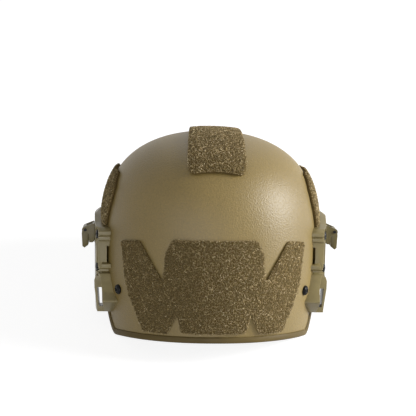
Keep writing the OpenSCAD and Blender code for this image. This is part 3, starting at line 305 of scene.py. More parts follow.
class Finish:
    """A node material, with short words for its nodes. gloss is the specular
    level, and tint the sheen's colour."""

    def __init__(self, name, rough, gloss=0.5, sheen=0.0, tint=(1, 1, 1)):
        self.mat = bpy.data.materials.new(name)
        self.mat.use_nodes = True
        self.tree = self.mat.node_tree
        self.shader = self.tree.nodes["Principled BSDF"]
        sockets = self.shader.inputs
        sockets["Roughness"].default_value = rough
        sockets["Specular IOR Level"].default_value = gloss
        sockets["Sheen Weight"].default_value = sheen
        sockets["Sheen Roughness"].default_value = 0.6
        sockets["Sheen Tint"].default_value = (*tint, 1)
        self.coords = self.tree.nodes.new("ShaderNodeTexCoord")

    def add(self, kind, inputs=None, **settings):
        """A new node. Each input is a number, a colour or another node's output."""
        new = self.tree.nodes.new(kind)
        for key, value in settings.items():
            setattr(new, key, value)
        for key, value in (inputs or {}).items():
            if isinstance(value, bpy.types.NodeSocket):
                self.tree.links.new(value, new.inputs[key])
            else:
                new.inputs[key].default_value = value
        return new

    def noise(self, scale, detail, rough=0.5):
        source = self.coords.outputs["Object"]
        return self.add(
            "ShaderNodeTexNoise",
            {"Vector": source, "Scale": scale, "Detail": detail, "Roughness": rough},
        ).outputs["Fac"]

    def cells(self, scale, feature, spread=1.0):
        source = self.coords.outputs["Object"]
        return self.add(
            "ShaderNodeTexVoronoi",
            {"Vector": source, "Scale": scale, "Randomness": spread},
            feature=feature,
        ).outputs["Distance"]

    def ramp(self, value, stops):
        """A colour that runs through stops of (value, colour)."""
        new = self.add("ShaderNodeValToRGB", {"Fac": value})
        marks = new.color_ramp.elements
        while len(marks) < len(stops):
            marks.new(0.5)
        for mark, (at, colour) in zip(marks, stops):
            mark.position = at
            mark.color = (*colour, 1)
        return new.outputs["Color"]

    def span(self, value, low, high, to_low, to_high):
        """A value moved from one range to another."""
        ends = {"From Min": low, "From Max": high, "To Min": to_low, "To Max": to_high}
        new = self.add("ShaderNodeMapRange", {"Value": value, **ends})
        return new.outputs["Result"]

    def math(self, operation, a, b):
        new = self.add("ShaderNodeMath", {0: a, 1: b}, operation=operation)
        return new.outputs[0]

    def mix(self, a, b, share, blend="MIX"):
        """Two colours mixed. The second may be three plain numbers."""
        if not isinstance(b, bpy.types.NodeSocket):
            b = (*b, 1)
        ends = {0: share, 6: a, 7: b}
        new = self.add("ShaderNodeMix", ends, data_type="RGBA", blend_type=blend)
        return new.outputs[2]

    def shaded(self, tone, level):
        """A colour made lighter or darker by a level."""
        grey = self.add("ShaderNodeCombineColor", {0: level, 1: level, 2: level})
        return self.mix(tone, grey.outputs[0], 1.0, "MULTIPLY")

    def worn_and_highlit_edges(self, radius):
        """1 along sharp edges, broken up as by handling, and 0 on open faces: the mask
        for edge wear and for a painted highlight along the edges.
        """
        turned = self.add("ShaderNodeBevel", {"Radius": radius}, samples=6).outputs[0]
        plain = self.add("ShaderNodeNewGeometry").outputs["Normal"]
        same = self.add(
            "ShaderNodeVectorMath", {0: turned, 1: plain}, operation="DOT_PRODUCT"
        ).outputs["Value"]
        edge = self.span(same, 0.992, 0.90, 0.0, 1.0)
        rubs = self.span(self.noise(220, 3), 0.35, 0.6, 0.25, 1.0)
        return self.math("MULTIPLY", edge, rubs)

    def colour(self, value):
        self.tree.links.new(value, self.shader.inputs["Base Color"])

    def rough(self, value):
        self.tree.links.new(value, self.shader.inputs["Roughness"])

    def bump(self, *layers):
        """Each layer is (height, depth in metres)."""
        normal = None
        for height, depth in layers:
            inputs = {"Height": height, "Distance": depth, "Strength": 1.0}
            if normal:
                inputs["Normal"] = normal
            normal = self.add("ShaderNodeBump", inputs).outputs["Normal"]
        self.tree.links.new(normal, self.shader.inputs["Normal"])


def shell_coating():
    """Satin paint with fine grit in it, like leather grain."""
    f = Finish("shell_coating", 0.45, gloss=0.62)
    wide = f.noise(13, 3)
    grain = f.noise(700, 3, 0.6)
    pebble = f.cells(800, "SMOOTH_F1")
    tone = f.ramp(wide, [(0.3, (0.190, 0.132, 0.035)), (0.7, (0.222, 0.156, 0.046))])
    spots = f.span(grain, 0.35, 0.65, 0.88, 1.1)
    f.colour(f.shaded(tone, spots))
    mixed = f.math("ADD", grain, f.math("MULTIPLY", wide, 0.5))
    f.rough(f.span(mixed, 0.4, 1.0, 0.43, 0.53))
    f.bump((pebble, 0.00024), (grain, 0.00017), (f.noise(1500, 2), 0.00005))
    return f.mat


def trim_rubber():
    """Brown rubber, a little uneven, darker than the shell: partly the rubber's own
    tone, partly a painted shade along the rim.
    """
    f = Finish("trim_rubber", 0.5, gloss=0.15)
    # These dark tones are partly the rubber's own colour and partly painted shade at
    # the rim.
    tones = [(0.3, (0.104, 0.074, 0.027)), (0.7, (0.128, 0.092, 0.034))]
    f.colour(f.ramp(f.noise(40, 3), tones))
    f.rough(f.span(f.noise(60, 2), 0.3, 0.7, 0.42, 0.58))
    f.bump((f.noise(900, 2), 0.00008))
    return f.mat


def moulded(name, low, high, worn, rough, gloss):
    """Moulded polymer with a fine even texture, faint flow marks and rubbed edges,
    whose paler colour is both wear and a painted highlight.
    """
    f = Finish(name, rough, gloss)
    flow = f.noise(32, 4, 0.6)
    fine = f.noise(1400, 2)
    # The paler colour along the edges is wear and also a painted highlight.
    f.colour(f.mix(f.ramp(flow, [(0.3, low), (0.7, high)]), worn, f.worn_and_highlit_edges(0.0007)))
    f.rough(f.span(f.math("ADD", fine, flow), 0.7, 1.3, rough - 0.06, rough + 0.08))
    f.bump((fine, 0.00007), (flow, 0.00007))
    return f.mat


def black_steel():
    """Black paint on steel, paler along its edges, as worn and as a painted highlight.
    """
    f = Finish("black_steel", 0.28, gloss=0.12)
    tones = [(0.45, (0.003, 0.003, 0.003)), (0.8, (0.009, 0.009, 0.009))]
    paint = f.ramp(f.noise(300, 3), tones)
    # The grey along the edges is wear and also a painted highlight.
    f.colour(f.mix(paint, (0.070, 0.068, 0.064), f.worn_and_highlit_edges(0.0003)))
    f.rough(f.span(f.noise(500, 3), 0.3, 0.7, 0.18, 0.32))
    f.bump((f.noise(1800, 2), 0.00003))
    return f.mat


def loop_cloth():
    """The knitted ground under the pile, painted dark between the loops as shade."""
    f = Finish("loop_ground", 0.95, gloss=0.1, sheen=0.15, tint=(0.90, 0.66, 0.30))
    knit = f.cells(850, "F1")
    # Darker towards the cells' borders: a painted shade in the gaps between the loops.
    f.colour(f.ramp(knit, [(0.0, (0.200, 0.143, 0.056)), (0.6, (0.115, 0.081, 0.030))]))
    f.bump((knit, 0.0005))
    return f.mat


def loop_fibre():
    """Curled yarn. Each loop's tone is the first value of its UV map."""
    f = Finish("loop_fibre", 0.85, gloss=0.12, sheen=0.6, tint=(0.95, 0.78, 0.48))
    each = f.add("ShaderNodeSeparateXYZ", {0: f.coords.outputs["UV"]}).outputs[0]
    clump = f.noise(190, 2)
    mixed = f.math("ADD", f.math("MULTIPLY", each, 0.7), f.math("MULTIPLY", clump, 0.3))
    f.colour(f.ramp(mixed, [
        (0.16, (0.092, 0.063, 0.023)), (0.42, (0.205, 0.145, 0.058)),
        (0.64, (0.440, 0.330, 0.155)), (0.84, (0.820, 0.680, 0.430)),
    ]))
    f.bump((f.noise(2600, 2), 0.0001))
    return f.mat


def webbing_cloth(name, low, high):
    """Woven webbing: ribs along the strip and a pick across every millimetre."""
    f = Finish(name, 0.8, sheen=0.15)
    across, along = (
        f.add(
            "ShaderNodeTexWave",
            {"Vector": f.coords.outputs["UV"], "Scale": scale, "Distortion": 0.0},
            wave_type="BANDS", bands_direction=way, wave_profile="SIN",
        ).outputs["Fac"]
        for way, scale in (("X", 260.0), ("Y", 320.0))
    )
    weave = f.math("MULTIPLY", across, along)
    dirt = f.span(f.noise(60, 3), 0.4, 0.8, 1.0, 0.8)
    f.colour(f.shaded(f.ramp(weave, [(0.0, low), (0.6, high)]), dirt))
    f.bump((weave, 0.00035), (f.noise(2500, 2), 0.00008))
    return f.mat


def knit_cloth(name, low, high):
    """Fine knitted pad cover."""
    f = Finish(name, 0.9, sheen=0.2)
    knit = f.cells(1100, "F1", 0.55)
    worn = f.span(f.noise(40, 3), 0.35, 0.75, 1.0, 0.7)
    f.colour(f.shaded(f.ramp(knit, [(0.0, high), (0.55, low)]), worn))
    f.bump((knit, 0.00035), (f.noise(120, 3), 0.0004))
    return f.mat


COATING = shell_coating()
RUBBER = trim_rubber()
# The third colour of each polymer goes along its edges, as wear and as a painted
# highlight.
POLYMER = moulded("rail_polymer", (0.202, 0.163, 0.070), (0.256, 0.208, 0.092),
                  (0.440, 0.370, 0.200), 0.34, 0.38)
CLIP_POLYMER = moulded("clip_polymer", (0.104, 0.082, 0.028), (0.138, 0.110, 0.038),
                       (0.260, 0.212, 0.105), 0.36, 0.30)
BLACK_POLYMER = moulded("black_polymer", (0.011, 0.010, 0.009), (0.019, 0.018, 0.016),
                        (0.060, 0.057, 0.052), 0.42, 0.2)
BLACK_METAL = black_steel()
GROUND = loop_cloth()
FIBRE = loop_fibre()
WEB = webbing_cloth("tan_webbing", (0.085, 0.066, 0.033), (0.225, 0.180, 0.100))
THREAD = webbing_cloth("tan_thread", (0.120, 0.095, 0.050), (0.260, 0.210, 0.120))
KNIT = knit_cloth("pad_knit", (0.026, 0.024, 0.020), (0.085, 0.078, 0.066))
PIPING = knit_cloth("pad_piping", (0.014, 0.013, 0.012), (0.040, 0.037, 0.032))
CUP_KNIT = knit_cloth("cup_knit", (0.018, 0.018, 0.016), (0.055, 0.053, 0.048))
HOOK = knit_cloth("hook_tape", (0.014, 0.013, 0.012), (0.050, 0.046, 0.040))

# Shell and trim

SHELL_COLUMNS, SHELL_ROWS = 216, 58
SHOULDER, SHOULDER_SHARE = 120.0, 0.36


def shell_height(low, t):
    """Rows even up the wall, then even round the dome above the shoulder."""
    if t <= SHOULDER_SHARE:
        return low + (SHOULDER - low) * t / SHOULDER_SHARE
    turn = math.asin(((SHOULDER - WIDE_Z) / DOME) ** (TOP / 2))
    a = turn + (math.pi / 2 - turn) * (t - SHOULDER_SHARE) / (1 - SHOULDER_SHARE)
    return WIDE_Z + DOME * math.sin(a) ** (2 / TOP)


def make_shell():
    """Outer and inner wall, bridged along the rim."""

    def wall(depth):
        return lambda u, v: place(
            off_skin(u * 360, shell_height(rim(u * 360), v), depth)
        )

    bm = folded_grid(SHELL_COLUMNS, SHELL_ROWS, wall(0))
    inner = folded_grid(SHELL_COLUMNS, SHELL_ROWS, wall(-WALL))
    bmesh.ops.reverse_faces(inner, faces=inner.faces)
    join(bm, inner)
    bmesh.ops.remove_doubles(bm, verts=bm.verts, dist=MERGE)
    bmesh.ops.dissolve_degenerate(bm, edges=bm.edges, dist=SLIVER)
    rims = [e for e in bm.edges if e.is_boundary]
    bmesh.ops.bridge_loops(bm, edges=rims)
    bmesh.ops.recalc_face_normals(bm, faces=bm.faces)
    piece(bm, "shell_wall", COATING, "helmet", ["shell"])


TRIM_HEIGHT, TRIM_WALL, TRIM_ROUND = 4.5, 1.3, 1.2
TRIM_COLUMNS = 288


def trim_section():
    """The strip's closed outline as (up, off) pairs, its corners rounded."""
    h, r = TRIM_HEIGHT, TRIM_ROUND
    out1, out2 = GAP, GAP + TRIM_WALL
    in1, in2 = -WALL - GAP, -WALL - GAP - TRIM_WALL
    foot = -GAP - TRIM_WALL
    turns = [math.radians(90 * k / 4) for k in range(5)]
    points = [(h - 0.1, out1), (h, out1 + 0.15), (h - 0.9, out1 + 0.5), (h - 2.6, out2)]
    for a in turns:
        points.append((foot + r - r * math.sin(a), out2 - r + r * math.cos(a)))
    for a in turns:
        points.append((foot + r - r * math.cos(a), in2 + r - r * math.sin(a)))
    points += [(h - 1.0, in2), (h - 0.3, in2 + 0.2), (h, (in1 + in2) / 2 + 0.1),
               (h - 0.1, in1), (-GAP, in1), (-GAP, out1)]
    return points


def make_trim():
    """The section, swept round the whole rim."""
    section = trim_section()
    count = len(section)

    def spot(u, v):
        up, off = section[round(v * count) % count]
        return place(trim_point(u * 360, up, off))

    bm = folded_grid(TRIM_COLUMNS, count, spot)
    close_up(bm)
    piece(bm, "rim_trim", RUBBER, "helmet", ["edge_trim"])


# Loop patches

LOOP_TURN, LOOP_RADIUS, YARN_RADIUS = 205, 0.68, 0.27
BATCH = 80  # tufts
ROW_SHARE, JITTER = 0.87, 0.42  # of the pitch
EDGE_PITCH = 1.3
INNER_RISE, EDGE_SINK = 0.35, 0.6  # of the tufts, from the sheet's face
SHEET_STEP, SHEET_LIFT = 1.5, 0.6
SHEET_LUMP, EDGE_DROP = 0.28, 0.55  # how uneven the face is, and how its edge droops


def rounded(points, steps=4):
    """An outline whose points are (x, y, corner radius)."""
    found = []
    for i, (x, y, wanted) in enumerate(points):
        p = Vector((x, y))
        u = Vector(points[i - 1][:2]) - p
        v = Vector(points[(i + 1) % len(points)][:2]) - p
        shorter = min(u.length, v.length)
        u.normalize()
        v.normalize()
        half = math.acos(max(-1, min(1, u.dot(v)))) / 2
        back = min(wanted / math.tan(half), 0.45 * shorter)
        r = back * math.tan(half)
        centre = p + (u + v).normalized() * (r / math.sin(half))
        a, b = p + u * back - centre, p + v * back - centre
        start = math.atan2(a.y, a.x)
        turn = (math.atan2(b.y, b.x) - start + 3 * math.pi) % (2 * math.pi) - math.pi
        for k in range(steps + 1):
            t = start + turn * k / steps
            found.append(centre + r * Vector((math.cos(t), math.sin(t))))
    return found


def corners_of(outline):
    """The lower left and the upper right corner of the box round an outline."""
    low = Vector((min(p.x for p in outline), min(p.y for p in outline)))
    high = Vector((max(p.x for p in outline), max(p.y for p in outline)))
    return low, high


def is_within(p, outline):
    """True where a point lies inside an outline."""
    hit = False
    for i, b in enumerate(outline):
        a = outline[i - 1]
        if (a.y > p.y) != (b.y > p.y):
            if p.x < (b.x - a.x) * (p.y - a.y) / (b.y - a.y) + a.x:
                hit = not hit
    return hit


def nearest_edge(p, outline):
    """The outline's nearest point, and how far it is."""
    best, far = None, 1e9
    for i, b in enumerate(outline):
        a = outline[i - 1]
        ab = b - a
        t = max(0.0, min(1.0, (p - a).dot(ab) / max(ab.length_squared, 1e-9)))
        q = a + ab * t
        if (q - p).length < far:
            best, far = q, (q - p).length
    return best, far


def make_tuft():
    """One curled loop of yarn, a short bent tube, standing on the origin."""
    bm = bmesh.new()
    bmesh.ops.create_circle(bm, cap_ends=True, segments=3, radius=YARN_RADIUS)
    aside = Matrix.Translation((LOOP_RADIUS, 0, 0))
    bmesh.ops.transform(bm, matrix=aside, verts=bm.verts)
    bmesh.ops.spin(
        bm, geom=bm.faces[:] + bm.edges[:] + bm.verts[:], cent=(0, 0, 0),
        axis=(0, 1, 0), angle=-math.radians(LOOP_TURN), steps=5, use_duplicate=False,
    )
    bmesh.ops.remove_doubles(bm, verts=bm.verts, dist=1e-4)
    bmesh.ops.recalc_face_normals(bm, faces=bm.faces)
    bm.loops.layers.uv.new("UVMap")
    return to_mesh(bm, "tuft")


TUFT = make_tuft()


def strew(spots, name):
    """A tuft at each (matrix, tone), joined from small batches."""
    whole = bmesh.new()
    for first in range(0, len(spots), BATCH):
        bm = bmesh.new()
        bm.from_mesh(TUFT)
        layer = bm.loops.layers.uv.active
        base = bm.verts[:] + bm.edges[:] + bm.faces[:]
        batch = spots[first : first + BATCH]
        sets = [base]
        for _ in batch[1:]:
            sets.append(bmesh.ops.duplicate(bm, geom=base)["geom"])
        for parts, (matrix, tone) in zip(sets, batch):
            verts = [g for g in parts if isinstance(g, bmesh.types.BMVert)]
            bmesh.ops.transform(bm, matrix=matrix, verts=verts)
            for face in parts:
                if isinstance(face, bmesh.types.BMFace):
                    for corner in face.loops:
                        corner[layer].uv = (tone, 0.5)
        join(whole, bm)
    return piece(whole, name, FIBRE, "helmet")


def tuft_spots(outline, surface, pitch, thick, side):
    """Places for the loops: all over the outline's inside, then along its edge."""
    low, high = corners_of(outline)
    found = []

    def stand(p, lie, lean_by, grow, tone, up):
        n = outward(surface(p.x, p.y, 0))
        turn = n.to_track_quat("Z", "Y").to_matrix().to_4x4()
        m = (
            Matrix.Translation(surface(p.x, p.y, up)) @ turn
            @ Matrix.Rotation(lie, 4, "Z") @ Matrix.Rotation(lean_by, 4, "X")
            @ Matrix.Scale(grow, 4)
        )
        found.append((REST @ side @ m, tone))

    rows = math.ceil((high.y - low.y) / (pitch * ROW_SHARE)) + 1
    count = math.ceil((high.x - low.x) / pitch) + 1
    for row in range(rows):
        for k in range(count):
            p = low + Vector((
                (k + 0.5 * (row % 2) + random.uniform(-JITTER, JITTER)) * pitch,
                (row * ROW_SHARE + random.uniform(-JITTER, JITTER)) * pitch,
            ))
            lie, lean_by = random.uniform(0, 2 * math.pi), random.uniform(-0.7, 0.7)
            grow, tone = random.uniform(0.85, 1.3), random.betavariate(1.6, 2.2)
            if is_within(p, outline):
                stand(p, lie, lean_by, grow, tone, thick + INNER_RISE)
    for i, b in enumerate(outline):
        a = outline[i - 1]
        steps = max(1, round((b - a).length / EDGE_PITCH))
        for k in range(steps):
            p = a.lerp(b, (k + random.random()) / steps)
            lie, lean_by = random.uniform(0, 2 * math.pi), random.uniform(-0.8, 0.8)
            # The edge loops get lighter tones than the inner ones on average: a painted
            # sheen along the patch's edge.
            grow, tone = random.uniform(0.8, 1.1), 0.25 + 0.6 * random.random()
            stand(p, lie, lean_by, grow, tone, thick - EDGE_SINK)
    return found


def make_patch(name, node, outline, surface, pitch, thick, side):
    """A sheet of loop tape on the shell and its pile. surface(u, v, d) is on the
    helmet, and the outline is in the same u and v. flat is in metres."""
    low, high = corners_of(outline)
    size = high - low
    columns, rows = round(size.x / SHEET_STEP), round(size.y / SHEET_STEP)
    bm = bmesh.new()
    bmesh.ops.create_grid(bm, x_segments=columns, y_segments=rows, size=0.5)
    for v in bm.verts:
        v.co.x = low.x + (v.co.x + 0.5) * size.x
        v.co.y = low.y + (v.co.y + 0.5) * size.y
    out = [v for v in bm.verts if not is_within(v.co.xy, outline)]
    snapped = set()
    for v in out:
        q, far = nearest_edge(v.co.xy, outline)
        if far < SHEET_STEP * 0.55:
            v.co.xy = q
            snapped.add(v)
    bmesh.ops.delete(bm, geom=[v for v in out if v not in snapped], context="VERTS")
    loose = [v for v in bm.verts if not v.link_faces]
    bmesh.ops.delete(bm, geom=loose, context="VERTS")
    for v in bm.verts:
        if v.is_boundary and v not in snapped:
            v.co.xy = nearest_edge(v.co.xy, outline)[0]
    bmesh.ops.remove_doubles(bm, verts=bm.verts, dist=0.05)
    for v in bm.verts:
        u, w = v.co.xy
        lump = noise.noise(Vector((u, w, 3)) * 0.55)
        drop = EDGE_DROP if v.is_boundary else 0.0
        v.co = surface(u, w, GAP + thick + SHEET_LUMP * lump - drop)
    top = bm.faces[:]
    grown = bmesh.ops.extrude_face_region(bm, geom=top)["geom"]
    down = [g for g in grown if isinstance(g, bmesh.types.BMVert)]
    for v in down:
        v.co = v.co - outward(v.co) * (thick - SHEET_LIFT)
    bmesh.ops.transform(bm, matrix=REST @ side, verts=bm.verts)
    close_up(bm)
    sheet = piece(bm, name, GROUND, "helmet", [node])
    spots = tuft_spots(outline, surface, pitch, thick, side)
    pile = strew(spots, name.replace("tape", "pile"))


def both_sides(half):
    """An outline from its right half."""
    return half + [(-x, y, r) for x, y, r in reversed(half)]


def make_patches():
    """The patches of the crown, the rear and the two sides."""
    crown = rounded([
        (-25.6, -105.3, 8), (29.2, -105.3, 8), (28.2, 13.7, 8), (-21.0, 13.7, 8)])
    make_patch("crown_loop_tape", "crown_loop_patch", crown, dome_point,
               1.5, 3.6, AS_IS)
    low, top = 17.0, 106.5
    rear = rounded(both_sides([
        (30.0, low + 1, 3), (34.3, low + 18.5, 1.2), (43.5, low - 1, 3),
        (66, low - 2, 4), (79.5, low + 31, 8), (83, low + 43, 10), (87.3, top - 7, 3),
        (69.8, top - 4, 3), (47.6, top - 41.2, 1.4), (45.0, top - 13.5, 5),
        (39.2, top, 4)]), 3)
    make_patch("rear_loop_tape", "rear_loop_patch", rear, rear_point,
               1.62, 2.2, AS_IS)
    top = 166.0
    beside = rounded([
        (-37, top - 5, 9), (-51, top - 19, 8), (-53, top - 32, 6), (-46, top - 60, 4),
        (8, top - 40, 12), (42, top - 46, 5), (54, top - 33, 6), (45, top - 13, 6),
        (24, top - 3, 6)], 3)
    for word, side in HANDS:
        make_patch(f"side_loop_tape_{word}", f"side_loop_patch_{word}", beside,
                   side_point, 1.6, 3.3, side)


# Webbing, as lists of (angle, height, depth below the inside face)

WEB_WIDTH, WEB_THICK, WEB_COLUMNS = 20.0, 1.5, 12
THREAD_RADIUS, THREAD_TURNS, THREAD_SWING = 0.24, 20, 1.1


def path_points(stops, per=6):
    """Points along a smooth curve through the stops."""
    last = len(stops) - 1
    found = []
    for i in range(last):
        a, b = Vector(stops[max(0, i - 1)]), Vector(stops[i])
        c, d = Vector(stops[i + 1]), Vector(stops[min(last, i + 2)])
        for k in range(per):
            t = k / per
            found.append(0.5 * (
                2 * b + (c - a) * t + (2 * a - 5 * b + 4 * c - d) * t * t
                + (3 * b - a - 3 * c + d) * t**3
            ))
    return found + [Vector(stops[last])]


def make_web(name, node, stops, side, body="helmet"):
    """A flat strap along its stops, with softened selvedges."""
    path = path_points(stops)
    spots = [inside(*p) for p in path]
    faces = [outward(on_skin(p[0], p[1])) for p in path]
    length = sum((b - a).length for a, b in zip(spots, spots[1:]))
    count = len(spots) - 1
    ring = []
    for k in range(WEB_COLUMNS):
        a = 2 * math.pi * k / WEB_COLUMNS
        ring.append((bent(math.cos(a), 0.28), bent(math.sin(a), 0.7)))

    def spot(u, v):
        i = round(v * count)
        way = (spots[min(count, i + 1)] - spots[max(0, i - 1)]).normalized()
        e2 = way.cross(faces[i]).normalized()
        e1 = e2.cross(way)
        across, out = ring[round(u * WEB_COLUMNS) % WEB_COLUMNS]
        return REST @ side @ (
            spots[i] + e2 * across * WEB_WIDTH / 2 + e1 * out * WEB_THICK / 2
        )

    reach = (2 * WEB_WIDTH / 1000, length / 1000)
    bm = folded_grid(WEB_COLUMNS, count, spot, reach)
    bmesh.ops.remove_doubles(bm, verts=bm.verts, dist=MERGE)
    cap_ends(bm)
    return piece(bm, name, WEB, body, [node])


def sew_across(name, stops, side, marks):
    """Zigzag rows of thread across a strap's two faces. Each mark is a way from
    the strap's start, or a negative one from its end."""
    path = path_points(stops, 24)
    spots = [inside(*p) for p in path]
    run = [0.0]
    for a, b in zip(spots, spots[1:]):
        run.append(run[-1] + (b - a).length)
    whole = bmesh.new()
    for mark in marks:
        at = mark if mark > 0 else run[-1] + mark
        i = min(range(1, len(run) - 1), key=lambda k: abs(run[k] - at))
        way = (spots[i + 1] - spots[i - 1]).normalized()
        e2 = way.cross(outward(on_skin(*path[i][:2]))).normalized()
        e1 = e2.cross(way)
        last = THREAD_TURNS
        for face in (-1, 1):
            turns = [
                spots[i] + e2 * (k / last - 0.5) * (WEB_WIDTH - 3.5) + e1 * face * 0.8
                + way * (THREAD_SWING if k % 2 else -THREAD_SWING)
                for k in range(last + 1)
            ]

            def spot(u, v):
                k = round(v * last)
                along = (turns[min(last, k + 1)] - turns[max(0, k - 1)]).normalized()
                over = along.cross(e1).normalized()
                a = 2 * math.pi * u
                off = (over * math.cos(a) + e1 * math.sin(a)) * THREAD_RADIUS
                return REST @ side @ (turns[k] + off)

            bm = folded_grid(6, last, spot, (0.001, 0.04))
            close_up(bm)
            cap_ends(bm)
            join(whole, bm)
    piece(whole, name, THREAD, "helmet")


def webs_of_one_side():
    """Stops of the straps that both sides have. The nape's and the rear one start
    at the harness bolt, and the front one at the rail's front screw."""
    bolt, bolt_z, screw, screw_z = 50.7, 49.5, 127.5, 88.6
    nape = [
        (bolt + 2.2, bolt_z + 3, 1.3), (bolt - 2, bolt_z - 3, 1.3),
        (bolt - 10, bolt_z - 13, 2.2), (bolt - 20, 25, 3.4), (14, 21, 3.4),
    ]
    rear = [
        (bolt - 3, bolt_z - 4, 3.4), (bolt + 3, bolt_z + 4, 3.4),
        (bolt + 12, bolt_z + 16, 5.4), (bolt + 24, bolt_z + 33, 5.8), (87.5, 91, 5.4),
    ]
    front = [
        (screw + 4.4, screw_z, 1.3), (screw - 3, screw_z, 1.3),
        (screw - 9, screw_z + 0.5, 2.8), (screw - 17, screw_z + 2, 4.2),
        (screw - 25, screw_z + 3.5, 5.6), (92.5, 91, 5.4),
    ]
    return {"nape": nape, "rear": rear, "front": front}


def place_of(p):
    """Angle, height and depth of a point below the inside of the wall."""
    foot = on_skin(math.degrees(math.atan2(p.x, -p.y)), p.z)
    for _ in range(7):
        n, low, high = outward(foot), 0.0, 60.0
        for _ in range(26):
            mid = (low + high) / 2
            q = p + n * mid
            if plan_scale(q.x, q.y) > waist(q.z):
                high = mid
            else:
                low = mid
        foot = p + n * low
    return math.degrees(math.atan2(foot.x, -foot.y)), foot.z, (foot - p).length - WALL


BUCKLE = inside(118, 80, 17.5)
BUCKLE_OUT = outward(on_skin(118, 80))
BUCKLE_WAY = Vector((-BUCKLE_OUT.y, BUCKLE_OUT.x, 0)).normalized()
SOCKET_BACK, PLUG_BACK = 12, 23.3  # of the buckle's halves, from its middle
CHIN_Z, CHIN_DEPTH, CUP_HALF = 84.0, 26.1, 36
CUP_RADIUS = inside(180, CHIN_Z, CHIN_DEPTH).xy.length
CUP_END = 180 - math.degrees(math.asin(CUP_HALF / CUP_RADIUS))


def make_straps():
    """The harness, then the chin strap, whose buckle is on the left."""
    for word, side in HANDS:
        for kind, stops in webs_of_one_side().items():
            make_web(f"{kind}_web_{word}", f"{kind}_strap_{word}", stops, side)
            marks = (13, 16.5, -14) if kind == "front" else (13, 16.5)
            sew_across(f"{kind}_stitches_{word}", stops, side, marks)
    start = [(87, 91, 11.7), (93, 90.5, 11.8)]
    end = [(152, CHIN_Z - 1, CHIN_DEPTH), (CUP_END - 1, CHIN_Z, CHIN_DEPTH)]
    whole = start + [(103, 86, 15), (118, 80, 18), (134, 80, CHIN_DEPTH - 1)] + end
    make_web("chin_web_right", "chin_strap_right", whole, AS_IS)
    sew_across("chin_stitches_right", whole, AS_IS, (16, 19.5, -6))
    socket = [place_of(BUCKLE - BUCKLE_WAY * (SOCKET_BACK + x)) for x in (12, 1.3)]
    make_web("chin_web_left", "chin_strap_left", start + socket, MIRROR)
    sew_across("chin_stitches_left", start + socket, MIRROR, (16, -9))
    plug = [place_of(BUCKLE + BUCKLE_WAY * (PLUG_BACK + x)) for x in (0.9, 9)]
    stops = plug + [(146, CHIN_Z - 2, CHIN_DEPTH - 2)] + end
    web = make_web("buckle_web", "buckle_webbing", stops, MIRROR, body=None)
    REST @ MIRROR @ inside(*end[0])
    REST @ MIRROR @ inside(*plug[1])
    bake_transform(web)


# Pads

PAD_BACK, PAD_THICK = 2.3, 19.0
NAPE_BACK, NAPE_THICK = 4.6, 8.0
CROWN_PAD_Y = 6
SMALL = 12  # half height under which a pad's seams are finer
ROOM_ROUND, ROOM_BACK, ROOM_THICK = 1.4, 0.2, 1.6  # for the cushions to swell into
PAD_COLUMNS, PAD_ROWS, VOXEL, FINE_VOXEL = 64, 26, 0.004, 0.003
CLOTH_FRAMES, MOST_SWELL = 20, 0.0016
PIPING_COUNT = 120
BACK_TO_WEARING = REST.inverted()


def pad_spot(site, s, t, depth):
    """A place on a pad's own grid, along the wall, up it and in from it."""
    p = on_skin(site[0], site[1])
    n = outward(p)
    a = site[0] + math.degrees(s / math.hypot(p.x, p.y))
    return inside(a, site[1] + t * math.hypot(n.x, n.y), depth)


def pad_place(site, p):
    """The place of a point on a pad's own grid."""
    o = on_skin(site[0], site[1])
    n = outward(o)
    turn = (math.degrees(math.atan2(p.x, -p.y)) - site[0] + 180) % 360 - 180
    return (math.radians(turn) * math.hypot(o.x, o.y),
            (p.z - site[1]) / math.hypot(n.x, n.y))


def crown_spot(s, t, depth):
    """The same as pad_spot, for the pad under the crown."""
    return dome_point(s, CROWN_PAD_Y + t, -WALL - depth)


def edge_of_pad(turn, power):
    """A rounded box whose sides pull in between its corners."""
    c, s = math.cos(turn), math.sin(turn)
    pull = 1 - (0.035 * math.cos(2 * turn) ** 2 if power > 2 else 0)
    return bent(c, 2 / power) * pull, bent(s, 2 / power) * pull


def pad_form(spot, half, power, back, thick, side):
    """A closed cushion: flat at the back, crowned at the front."""

    def at(u, v):
        a = math.pi * (v - 0.5)
        front = v > 0.5
        share = abs(math.cos(a)) ** (0.56 if front else 0.34)
        rise = 0.5 + 0.5 * bent(math.sin(a), 0.85 if front else 0.6)
        q = edge_of_pad(2 * math.pi * u, power)
        return REST @ side @ spot(q[0] * half[0] * share, q[1] * half[1] * share,
                                  back + thick * rise)

    bm = folded_grid(PAD_COLUMNS, PAD_ROWS, at)
    close_up(bm)
    return bm


def swell(objects, outs):
    """Blows the cushions up like cloth, their backs held, in one run."""
    for obj, out in zip(objects, outs):
        group = obj.vertex_groups.new(name="held")
        for v in obj.data.vertices:
            if v.normal.dot(out) > 0.6:
                group.add([v.index], 1.0, "REPLACE")
        cloth = modify(obj, "CLOTH", "cloth").settings
        cloth.quality = 6
        cloth.mass = 0.25
        cloth.tension_stiffness = cloth.compression_stiffness = 12
        cloth.bending_stiffness = 0.3
        cloth.use_pressure = True
        cloth.uniform_pressure_force = 4
        cloth.effector_weights.gravity = 0
        cloth.vertex_group_mass = "held"
    scene = bpy.context.scene
    for frame_number in range(1, CLOTH_FRAMES + 1):
        scene.frame_set(frame_number)
    deps = bpy.context.evaluated_depsgraph_get()
    swollen = [
        [v.co.copy() for v in obj.evaluated_get(deps).data.vertices] for obj in objects
    ]
    scene.frame_set(1)
    for obj, spots in zip(objects, swollen):
        obj.modifiers.remove(obj.modifiers["cloth"])
        for v, q in zip(obj.data.vertices, spots):
            move = q - v.co
            v.co += move * min(1.0, MOST_SWELL / max(move.length, 1e-9))


